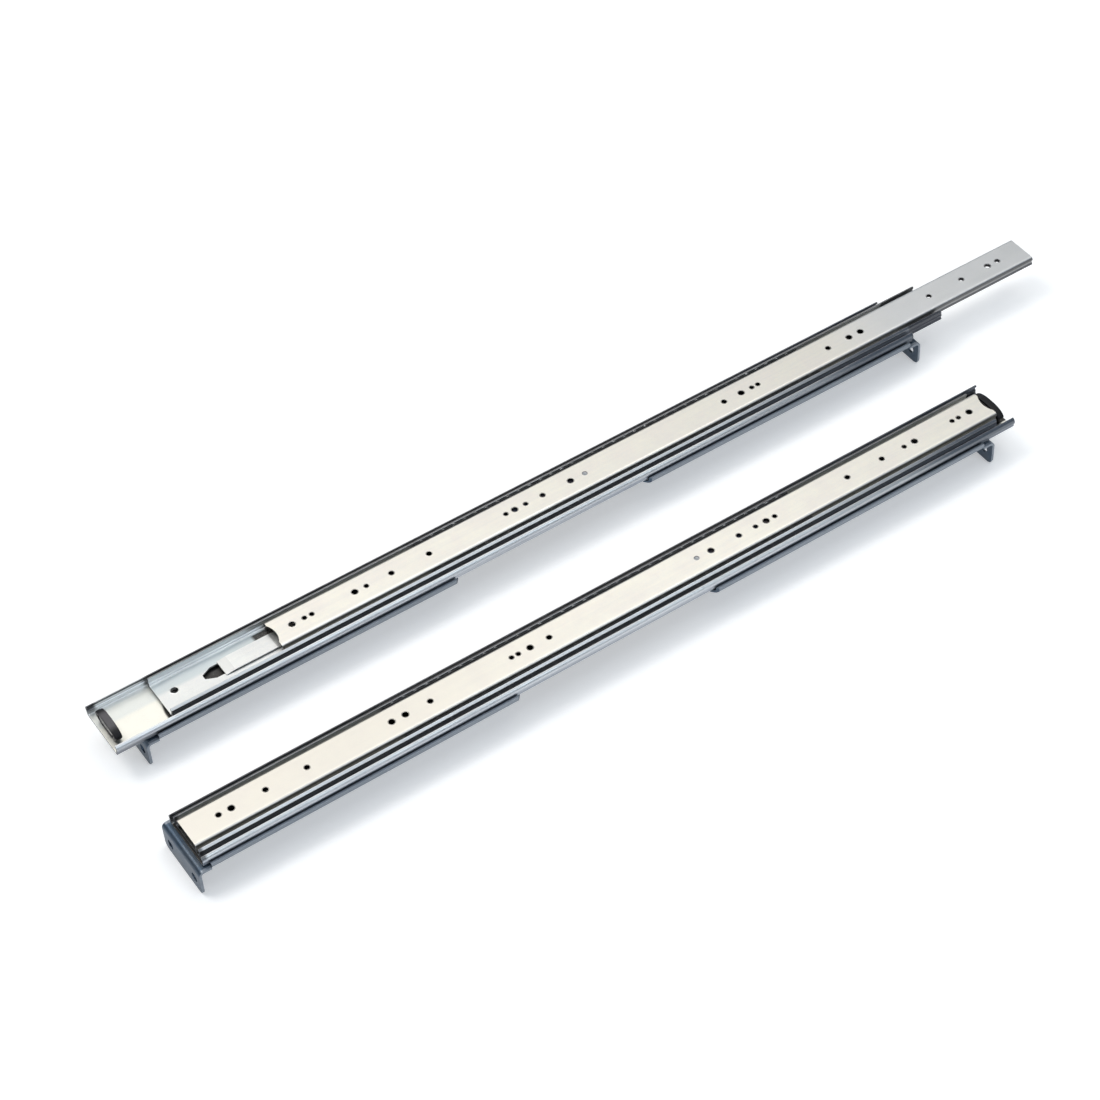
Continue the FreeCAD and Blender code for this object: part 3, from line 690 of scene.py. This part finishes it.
# %% Finish: blued spring steel
FINISH["spring_steel"], tree, shader = material("spring_steel")
grain, bloom = place(tree, rolled_grain), place(tree, zinc_bloom, Cloud=120.0)
wear = place(tree, edge_wear, Radius=0.0003)
color = mix(tree, bloom["Patch"], (0.022, 0.026, 0.042), (0.042, 0.034, 0.036))
color = coat(tree, color, (0.30, 0.30, 0.31), wear["Wear"], 0.45)
wire(tree, shader, {"Base Color": color, "Roughness": between(tree, grain["Streak"], 0.26, 0.38),
                    "Metallic": 0.9, "Normal": relief(tree, grain["Streak"], 4)})
print("spring steel has", len(tree.nodes), "nodes")

# %% [markdown]
# Balls are ground and polished, and then greased. The polish stays constant, and the
# grease is a mask that darkens them and spreads their highlight.

# %% Finish: polished balls
FINISH["ball_steel"], tree, shader = material("ball_steel")
smear = ramp(tree, noise(tree, position(tree), 480.0, 3.0), 0.42, 0.60)
color = mix(tree, times(tree, smear, 0.8), (0.74, 0.75, 0.77), (0.10, 0.09, 0.075))
wire(tree, shader, {"Base Color": color, "Roughness": between(tree, smear, 0.10, 0.40), "Metallic": 1.0})
print("ball steel has", len(tree.nodes), "nodes")

# %% [markdown]
# The ball cages are thin strip, blackened and oiled. Oil wets them unevenly: where it
# pools they shine, and where it has crept away they are a dry charcoal grey.

# %% Finish: black oiled strip
FINISH["black_cage"], tree, shader = material("black_cage")
grain, bloom = place(tree, rolled_grain, Across=1600.0), place(tree, zinc_bloom, Cloud=90.0)
wear = place(tree, edge_wear, Radius=0.0002)
color = mix(tree, bloom["Patch"], (0.014, 0.014, 0.016), (0.034, 0.033, 0.033))
color = coat(tree, color, (0.20, 0.20, 0.21), wear["Wear"], 0.35)
wire(tree, shader, {"Base Color": color, "Roughness": between(tree, bloom["Patch"], 0.24, 0.54),
                    "Metallic": 0.55, "Normal": relief(tree, grain["Streak"], 6)})
print("cage strip has", len(tree.nodes), "nodes")

# %% [markdown]
# The bumpers are moulded rubber: matt, not quite black, with the fine pebble that a
# spark-eroded mould leaves. The left one stands in the open, past the end of its members,
# and its upper middle is painted with a grey sheen, a painted highlight.

# %% Finish: black rubber
FINISH["black_rubber"], tree, shader = material("black_rubber")
wear, dust = place(tree, edge_wear, Radius=0.0009, Patchiness=420.0), place(tree, settled_dust, Amount=0.5)
where, spot = place(tree, rail_place), position(tree)
pebble = noise(tree, spot, 3800.0, 3.0)
clouds = ramp(tree, noise(tree, spot, 210.0, 4.0), 0.35, 0.7)
color = mix(tree, clouds, (0.006, 0.0055, 0.0065), (0.012, 0.011, 0.013))
color = coat(tree, color, (0.040, 0.037, 0.040), wear["Wear"], 0.4)
# Painted highlight: a grey sheen on the upper middle of the left bumper.
upper_sheen = times(tree, ramp(tree, parts(tree, normal(tree))["Z"], 0.30, 0.85),
                     ramp(tree, where["Across"], 11.0, 5.0))
color = coat(tree, color, (0.150, 0.140, 0.145), upper_sheen, where["Left"], 0.75)
color = coat(tree, color, (0.22, 0.21, 0.20), dust["Dust"])
wire(tree, shader, {"Base Color": color, "Roughness": between(tree, clouds, 0.50, 0.66),
                    "Specular IOR Level": 0.28, "Normal": relief(tree, pebble, 30)})
print("rubber has", len(tree.nodes), "nodes")

# %% [markdown]
# The frame's own record says which finish each CAD node has. So the CAD pieces are dressed
# in one pass, and only the shapes that need more are made again below.

# %% Dress the CAD pieces
finish_of = {part["node"]: part["material_slot"] for part in frame["record"]["subparts"]}
for name, node in frame["nodes"].items():
    node.data.materials.clear()
    node.data.materials.append(FINISH[finish_of[name]])
print(len(finish_of), "CAD pieces in", len(set(finish_of.values())), "finishes")

# %% [markdown]
# The new pieces are all surfaces on a grid: rows one way, columns the other, every point
# given by a formula. One helper joins the points into four-sided faces, and wraps round
# where a ring or a tube closes. Another measures the volume that the faces enclose: it
# comes out negative if they look inwards, and then they are turned.

# %% Grids into meshes
def weave(rows, cols, wrap_rows, copies):
    """Corner numbers of every face: each point with its neighbours on, across and back.

    The whole list comes once for each copy."""
    i = np.arange(rows if wrap_rows else rows - 1)
    i, j = np.meshgrid(i, np.arange(cols), indexing="ij")
    onward, across = (i + 1) % rows, (j + 1) % cols
    corners = (i * cols + j, i * cols + across, onward * cols + across, onward * cols + j)
    faces = np.stack(corners, axis=-1)
    shifts = np.arange(copies) * rows * cols
    return (faces.reshape(1, -1, 4) + shifts[:, None, None]).reshape(-1, 4)


def enclosed(points, faces):
    """Volume inside the faces: a sum of tetrahedra from the middle, negative if they point inwards."""
    a, b, c, d = (points[faces[:, k]] for k in range(4))
    return float((np.cross(b, c) * a).sum() + (np.cross(c, d) * a).sum()) / 6


print("grid helpers ready")

# %% [markdown]
# A third helper makes the finished piece. It merges points that fall together at a pole,
# shades the surface smooth between its sharp edges, gives it its finish, and ties it to
# the body that it moves with. Most shapes are turned ones, as on a lathe, and many come
# in rows, so there is a helper for each of these as well.

# %% Finished pieces
SAME_POINT = 1e-7


def piece(name, grids, finish, body, wrap_rows=False, angle=38, stands_for=()):
    """A finished piece from grids of points, shaped (copies, rows, columns, 3), that rides on a body.

    Columns always close into a ring; rows do where wrap_rows says so. Edges sharper than
    the angle stay sharp. stands_for names the CAD nodes that the piece is shown instead of."""
    corners, joins, start = [], [], 0
    for grid in grids:
        grid = grid if grid.ndim == 4 else grid[None]
        copies, rows, cols = grid.shape[:3]
        points = grid.reshape(-1, 3)
        faces = weave(rows, cols, wrap_rows, copies)
        if enclosed(points - points.mean(axis=0), faces) < 0:
            faces = faces[:, ::-1]
        corners.append(points)
        joins.append(faces + start)
        start += len(points)
    mesh = bpy.data.meshes.new(name)
    mesh.from_pydata(np.concatenate(corners), [], np.concatenate(joins))
    work = bmesh.new()
    work.from_mesh(mesh)
    bmesh.ops.remove_doubles(work, verts=work.verts, dist=SAME_POINT)
    bmesh.ops.dissolve_degenerate(work, dist=SAME_POINT, edges=work.edges)
    work.to_mesh(mesh)
    work.free()
    mesh.shade_smooth()
    mesh.set_sharp_from_angle(angle=math.radians(angle))
    mesh.materials.append(FINISH[finish])
    made = bpy.data.objects.new(name, mesh)
    bpy.context.scene.collection.objects.link(made)
    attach(made, body)
    if stands_for:
        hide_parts(*stands_for)
    print(name, len(mesh.polygons), "faces")


def lathe(profile, sides=32, axis="z"):
    """Turns a profile of (radius, height) about an axis: each column is the profile at an angle."""
    profile = np.asarray(profile, float)
    turn = np.linspace(0, 2 * np.pi, sides, endpoint=False)
    r, h = profile[:, :1], np.repeat(profile[:, 1:], sides, axis=1)
    x, y = r * np.cos(turn), r * np.sin(turn)
    return np.stack({"x": (h, x, y), "y": (x, h, y), "z": (x, y, h)}[axis], axis=-1)


def at_places(shape, places):
    """Copies of one grid at several places."""
    return shape[None] + np.asarray(places, float)[:, None, None, :]


print("piece helpers ready")

# %% [markdown]
# The balls are what makes a slide slide, and they show along both sides as a string of
# small highlights. The frame keeps four a row for MuJoCo; the real rows are full, so each
# row is made again from one small ball. It is a turned half circle with its poles along
# the rail, and few faces, because there are hundreds. ROWS gives each row's distance from
# the middle line and its height.

# %% Full rows of balls
BALL_R = 1.985
BALLS_A_ROW, END_MARGIN = 36, 7.5
ROWS = {"outer": (19.53, -6.6), "inner": (14.29, -4.4)}


def ball_shape():
    """A half circle from pole to pole, turned about the rail's direction."""
    lift = np.linspace(-np.pi / 2, np.pi / 2, 7)
    profile = np.stack((BALL_R * np.cos(lift), BALL_R * np.sin(lift)), axis=-1)
    return lathe(profile, sides=12, axis="x")


def ball_centres(side, cage):
    """Evenly spaced places between the first and last ball of a cage, in both of its rows."""
    y, z = ROWS[cage]
    low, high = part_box(f"{side}_{cage}_ball_cage")
    length = (high.x - low.x) / MM
    along = np.linspace(END_MARGIN, length - END_MARGIN, BALLS_A_ROW)
    along, across = np.meshgrid(along, (-y, y), indexing="ij")
    return np.stack((along.ravel(), across.ravel(), np.full(along.size, z)), axis=-1)


for side in SIDES:
    for cage in ROWS:
        centres = ball_centres(side, cage)
        grid = settle(at_places(ball_shape(), centres), side, f"{cage}_ball_cage")
        piece(f"{side}_{cage}_ball_row", [grid], "ball_steel", f"{side}_{cage}_cage", angle=60,
              stands_for=(f"{side}_{cage}_balls",))

# %% [markdown]
# A cage is a strip with a pocket punched for each ball, and the punch leaves a low collar
# that keeps the ball from falling out. The collar is a small ring with a rounded crown,
# and one stands on each side of the strip at every ball.

# %% Collars of the ball pockets
COLLAR = ((1.97, 0.30), (1.98, 0.42), (2.08, 0.50), (2.20, 0.46), (2.30, 0.36), (2.32, 0.30))


def collar_shape(out):
    """A low ring across the rail: up from the strip, over a rounded crown, and down."""
    return lathe([(r, out * rise) for r, rise in COLLAR], sides=14, axis="y")


for side in SIDES:
    for cage in ROWS:
        rows = [at_places(collar_shape(out), ball_centres(side, cage)) for out in (-1, 1)]
        grids = [settle(row, side, f"{cage}_ball_cage") for row in rows]
        piece(f"{side}_{cage}_pocket_collars", grids, "black_cage", f"{side}_{cage}_cage", wrap_rows=True,
              angle=50)

# %% [markdown]
# Holes punched in plated sheet are never sharp. The die leaves a rolled-over rim that
# catches the light, and a smooth bore below it. One ring does both: it lines the bore,
# rounds over at the top, and runs out to nothing on the face. The holes near the front
# end are drawn as well as punched, so their rings reach down into a collar. Each hole is
# given as its distance from the first or from the last one, and its radius.

# %% Rims of the chassis holes
BIG, PLAIN, SMALL = 2.4, 2.05, 1.8
FIRST, LAST = 24.0, 642.0
FROM_FIRST = [(0.0, PLAIN), (9.4, BIG), (34.8, PLAIN), (65.9, PLAIN), (130.7, BIG), (141.2, BIG),
              (160.6, PLAIN), (224.9, SMALL), (230.3, SMALL), (239.8, BIG), (255.2, PLAIN)]
FROM_LAST = [(228.5, BIG), (204.7, PLAIN), (190.4, SMALL), (181.2, BIG), (173.8, SMALL), (110.1, PLAIN),
             (79.4, PLAIN), (59.2, SMALL), (49.9, BIG), (15.6, SMALL), (9.8, SMALL), (0.0, BIG)]
CHASSIS_HOLES = [(FIRST + u, r) for u, r in FROM_FIRST] + [(LAST - u, r) for u, r in FROM_LAST]
LINING, COLLARED = 1.28, 2.7
COLLARS_END = 100.0


def rim_shape(r, depth, rise=0.03, width=0.5):
    """Lines a bore of radius r: up the wall, round the corner, a little proud, and into the face."""
    bore = 0.955 * r
    inside = [(bore, -depth), (bore, -0.28), (bore + 0.04, -0.14), (bore + 0.12, -0.04)]
    crown = [(bore + 0.26, rise), (r + 0.7 * width, rise), (r + width, -0.04)]
    back = [(r + width, -0.2), (bore + 0.3, -0.35), (bore + 0.25, -depth)]
    return lathe(inside + crown + back, sides=24)


for side in SIDES:
    rings = [rim_shape(r, COLLARED if u < COLLARS_END else LINING) + np.array([u, 0, 0])
             for u, r in CHASSIS_HOLES]
    grids = [settle(ring, side, "inner_member") for ring in rings]
    piece(f"{side}_chassis_hole_rims", grids, "bright_zinc", f"{side}_inner", wrap_rows=True)

# %% [markdown]
# The bumper is an oval ring of rubber pulled over the head of a post, so a window of steel
# shows in its middle. Its surface runs round two shapes at once, an oval outside and a
# round-ended window inside, and between them it follows a superellipse: a square whose
# corners are well rounded. A low ridge round the outside is where the two halves of its
# mould met.

# %% Rubber bumpers
BUMPER_Z = -5.5
OUTSIDE, WINDOW = (15.0, 5.38), (10.2, 2.75)
SQUARENESS = 0.45
RIDGE, ROOM_FOR_RIDGE = 0.12, 0.98


def reach_of(side, node):
    """How far behind the outer member's front a piece starts and ends, in mm."""
    low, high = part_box(f"{side}_{node}")
    return sorted(abs(x - front_of(side, "outer_member")) / MM for x in (low.x, high.x))


def stadium(half_w, half_h, turn):
    """Round-ended window: an arc of radius half_h at each end, and two long sides between."""
    y = half_h * np.cos(turn) + (half_w - half_h) * np.clip(3.0 * np.cos(turn), -1, 1)
    return y, half_h * np.sin(turn)


def rounded(wave):
    """A cosine or sine, its size raised to a power: a circle of them swells towards a square."""
    return np.sign(wave) * np.abs(wave) ** SQUARENESS


def bumper_shape(u0, u1, around=96, section=28):
    """Round the window and the outside at once, with a rounded square section between the two.

    The rounded cosine gives the place between them, and the rounded sine the thickness."""
    turn = np.linspace(0, 2 * np.pi, around, endpoint=False)[:, None]
    over = np.linspace(0, 2 * np.pi, section, endpoint=False)[None, :]
    outwards = (0.5 + 0.5 * rounded(np.cos(over))) * ROOM_FOR_RIDGE
    ridge = RIDGE * np.exp(-((over + np.pi) % (2 * np.pi) - np.pi) ** 2 / 0.02)
    yo, zo = OUTSIDE[0] * np.cos(turn), OUTSIDE[1] * np.sin(turn)
    yi, zi = stadium(*WINDOW, turn)
    y = yi + (yo - yi) * outwards + ridge * np.cos(turn)
    z = BUMPER_Z + zi + (zo - zi) * outwards + ridge * np.sin(turn)
    x = (u0 + u1) / 2 + (u1 - u0) / 2 * rounded(np.sin(over)) + 0 * turn
    return np.stack((x, y, z), axis=-1)


for side in SIDES:
    grid = settle(bumper_shape(*reach_of(side, "rear_bumper")), side, "outer_member")
    piece(f"{side}_bumper_ring", [grid], "black_rubber", "outer_pair", wrap_rows=True, angle=70,
          stands_for=(side + "_rear_bumper",))

# %% [markdown]
# The window in each ring would be a dark pocket if the post's head were flat. The head is
# coined instead: a low oval pad on both its faces fills the window almost to the rubber.
# A pad is an oval drawn smaller and smaller while it rises, which rounds its edge.

# %% Coined pads of the stop posts
PAD_HALF_W, PAD_HALF_H, PAD_RISE = 9.9, 2.5, 1.75
PAD_ROOT = 0.1
PAD_EDGE = ((0.0, 0.0), (0.0, 0.55), (0.05, 0.78), (0.16, 0.92), (0.34, 0.985), (0.6, 1.0))


def pad_shape(u, way, around=64):
    """Ovals that shrink by the first number of PAD_EDGE while they rise by the second, as a share.

    A row with no width in the middle of each end closes the pad."""
    turn = np.linspace(0, 2 * np.pi, around, endpoint=False)
    flat = 0 * turn
    rows = [np.stack((u + way * PAD_RISE * lift + flat,
                      (PAD_HALF_W - shrink) * np.cos(turn),
                      BUMPER_Z + (PAD_HALF_H - shrink) * np.sin(turn)), -1) for shrink, lift in PAD_EDGE]
    poles = [np.stack((end + flat, flat, BUMPER_Z + flat), -1) for end in (u, u + way * PAD_RISE)]
    return np.stack(poles[:1] + rows + poles[1:])


for side in SIDES:
    faces = zip(reach_of(side, "rear_stop_post"), (-1, 1))
    pads = [settle(pad_shape(u - way * PAD_ROOT, way), side, "outer_member") for u, way in faces]
    piece(f"{side}_post_pads", pads, "dull_steel", "outer_pair")

# %% [markdown]
# Under the rails are the fasteners. Domed rivets hold each front bracket. A rivet is a
# turned shape: its shank fills the hole through both sheets, and its head was pressed
# into a dome, so the profile ends in a piece of an oval.

# %% Rivets
FLOOR, BACK = -11.4, -12.7
BRACKET = 1.8
RIVETS = (40.0, 205.0)
SHANK_R, HEAD_R, HEAD_RIM, HEAD_RISE = 2.45, 4.15, 0.2, 1.38


def rivet_shape():
    """A flush shank above, and a dome below: its radius goes with the root of 1 less the fall squared."""
    seat = BACK - BRACKET
    shank = [(0, FLOOR), (SHANK_R - 0.1, FLOOR), (SHANK_R, FLOOR - 0.1), (SHANK_R, seat), (4.1, seat)]
    fall = np.linspace(0, 1, 8)
    radius = HEAD_R * np.sqrt(1 - 0.92 * fall * fall)
    radius[-1] = 0
    return lathe(shank + list(zip(radius, seat - HEAD_RIM - HEAD_RISE * fall)), sides=36)


for side in SIDES:
    grid = settle(at_places(rivet_shape(), [(u, 0, 0) for u in RIVETS]), side, "outer_member")
    piece(f"{side}_domed_rivets", [grid], "dull_steel", "outer_pair", stands_for=(side + "_front_rivets",))

# %% [markdown]
# Each rear bracket is clamped by studs, washers and nuts, so it can be set to the depth
# of a rack. A thread is a turned shape too, if its radius also depends on the angle:
# height over pitch, less the turn, makes a wave that climbs by one pitch each time round.

# %% Studs with their threads
SLIP = 0.3
STUDS = (470.0, 590.0)
STUD_R, PITCH, THREAD_DEEP = 2.48, 0.8, 0.32
TAPER, TIP, TIP_DEEP = 0.6, 0.5, 0.35
WASHER_THICK, NUT_THICK, PAST_NUT = 0.8, 4.0, 1.5
WASHER_TOP = BACK - SLIP - BRACKET - SLIP
NUT_TOP = WASHER_TOP - WASHER_THICK
STUD_END = NUT_TOP - NUT_THICK - PAST_NUT


def circle(sides):
    """Angles once round, as one row."""
    return np.linspace(0, 2 * np.pi, sides, endpoint=False)[None, :]


def swept(radius, turn, z):
    """Points at a radius and an angle, at heights z."""
    return np.stack((radius * np.cos(turn), radius * np.sin(turn), z + 0 * turn), axis=-1)


def thread_shape(top, end, rows=90, sides=32):
    """A stud: the full radius, less a triangle wave of height over pitch less the turn.

    The wave fades out towards the smooth neck, and the tip is drawn in."""
    turn = circle(sides)
    z = np.linspace(top, end, rows)[:, None]
    wave = np.abs(((z / PITCH - turn / (2 * np.pi)) % 1.0) * 2 - 1)
    fade = np.clip((WASHER_TOP - z) / TAPER, 0, 1)
    radius = STUD_R - THREAD_DEEP * wave * fade - TIP_DEEP * (1 - np.clip((z - end) / TIP, 0, 1))
    radius[0, :] = radius[-1, :] = 0
    return swept(radius, turn, z)


SPOTS = [(u, 0, 0) for u in STUDS]
for side in SIDES:
    grid = settle(at_places(thread_shape(FLOOR, STUD_END), SPOTS), side, "outer_member")
    piece(f"{side}_threaded_studs", [grid], "dull_steel", "outer_pair", stands_for=(side + "_rear_studs",),
          angle=50)

# %% [markdown]
# A nut is a hexagon cut by a cone. For each angle the hexagon gives one radius and the
# cone, which narrows towards the face, gives another; the nut is the smaller of the two.
# That one rule draws the curved edges where the chamfer meets the flats.

# %% Nuts
HALF_FLATS, NUT_BORE, COUNTERSINK = 4.0, 2.5, 0.3
STATIONS = (0.0, 0.25, 0.5, 0.8, 1.2, 2.8, 3.2, 3.5, 3.75, 4.0)


def nut_shape(top, thick, sides=72):
    """Radius is the smaller of the hexagon's and the cone's; the last rows go up the bore."""
    turn = circle(sides)
    hexagon = HALF_FLATS / np.cos((turn + np.pi / 6) % (np.pi / 3) - np.pi / 6)
    down = np.array(STATIONS)[:, None]
    cone = HALF_FLATS * 1.02 + 1.5 * np.minimum(down, thick - down)
    skin = np.minimum(hexagon + 0 * down, cone)
    skin[0, :] = skin[-1, :] = HALF_FLATS * 0.97
    mouth, bore = np.full((1, sides), NUT_BORE + COUNTERSINK), np.full((1, sides), NUT_BORE)
    radius = np.concatenate((mouth, skin, mouth, bore, bore))
    z = top - np.concatenate(([[0.0]], down, [[thick]], [[thick - COUNTERSINK]], [[COUNTERSINK]]))
    return swept(radius, turn, z)


print("nuts are", 2 * HALF_FLATS, "mm across the flats")

# %% [markdown]
# A washer is stamped out of strip. The punch draws its upper outer edge round and leaves
# the lower one nearly sharp, and a turned profile can show both. Then the nuts and the
# washers go on their studs.

# %% Washers and nuts in place
WASHER_R, WASHER_BORE = 6.0, 2.55


def washer_shape(r, bore, top, thick):
    """A flat ring whose outer edge is rolled on the punch side."""
    foot = top - thick
    rolled_edge = [(r - 0.3, top), (r - 0.08, top - 0.1), (r, top - 0.3)]
    return lathe([(bore, foot), (bore, top)] + rolled_edge + [(r, foot + 0.05), (r - 0.05, foot)], sides=48)


for side in SIDES:
    nuts = at_places(nut_shape(NUT_TOP, NUT_THICK), SPOTS)
    piece(f"{side}_hexagon_nuts", [settle(nuts, side, "outer_member")], "dull_steel", "outer_pair",
          wrap_rows=True, stands_for=(side + "_rear_nuts",), angle=30)
    washers = at_places(washer_shape(WASHER_R, WASHER_BORE, WASHER_TOP, WASHER_THICK), SPOTS)
    piece(f"{side}_rolled_washers", [settle(washers, side, "outer_member")], "dull_steel", "outer_pair",
          wrap_rows=True, stands_for=(side + "_rear_washers",))

# %% [markdown]
# Small round marks finish the sheet parts. The release lever hangs on a rivet that is spun
# down until it is almost flush, with a dimple in its middle. The shape is given the
# height of its foot, because the CAD rivet says how far down the head below lies.

# %% Lever rivets
LEVER_U = 401.3


def spun_rivet(foot):
    """From the dimple out over a low crown, down the shank, and round a domed head below."""
    crown = [(0, -0.42), (0.5, -0.38), (0.95, -0.24), (1.35, -0.15), (1.75, -0.15), (1.95, -0.3)]
    head = [(1.95, foot + 0.7), (3.3, foot + 0.6), (3.3, foot + 0.3), (2.6, foot), (1.4, foot - 0.05)]
    return lathe(crown + head + [(0, foot - 0.05)], sides=32)


print("lever rivets lie", LEVER_U, "mm behind the front of the inner member")

# %% [markdown]
# The boss that is pierced in each intermediate member has a smooth lip, which is the same
# ring as the chassis holes have, only larger. The sprung leaf beside it is held by spot
# welds, each a shallow crater with a raised edge. All these marks are made rail by rail.

# %% Lever rivets, boss lips and spot welds in place
BOSS, BOSS_R, BOSS_DEEP = (641.0, 2.5, -8.0), 2.75, 2.6
LEAF_TOP = -7.4
WELDS = [(545.5, -3.2, LEAF_TOP), (545.5, 3.2, LEAF_TOP)]
CRATER = [(0, 0.01), (0.9, 0.015), (1.35, 0.05), (1.6, 0.07), (1.85, 0.05), (2.1, -0.05), (0, -0.06)]

for side in SIDES:
    foot = (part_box(side + "_lever_rivet")[0].z - TOP) / MM
    rivet = settle(spun_rivet(foot) + np.array([LEVER_U, 0, 0]), side, "inner_member")
    piece(f"{side}_spun_lever_rivet", [rivet], "dull_steel", f"{side}_inner",
          stands_for=(side + "_lever_rivet",))
    lip_ring = rim_shape(BOSS_R, BOSS_DEEP, rise=0.06, width=0.7) + np.array(BOSS)
    piece(f"{side}_boss_lip", [settle(lip_ring, side, "intermediate_member")], "zinc_steel",
          f"{side}_intermediate", wrap_rows=True)
    craters = at_places(lathe(CRATER, sides=28), WELDS)
    piece(f"{side}_leaf_welds", [settle(craters, side, "intermediate_member")], "dull_steel",
          f"{side}_intermediate")

# %% [markdown]
# Dressing must not make the object grow. So the box round everything is measured once
# more, now with the new pieces, and written beside the box that the CAD model had.

shown_box = [list(corner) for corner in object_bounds()]
print("visual box in metres", np.round(shown_box, 4).tolist())
growth = np.abs(np.array(shown_box) - np.array(cad_box)).max() / MM
print("largest growth in mm", round(float(growth), 3))
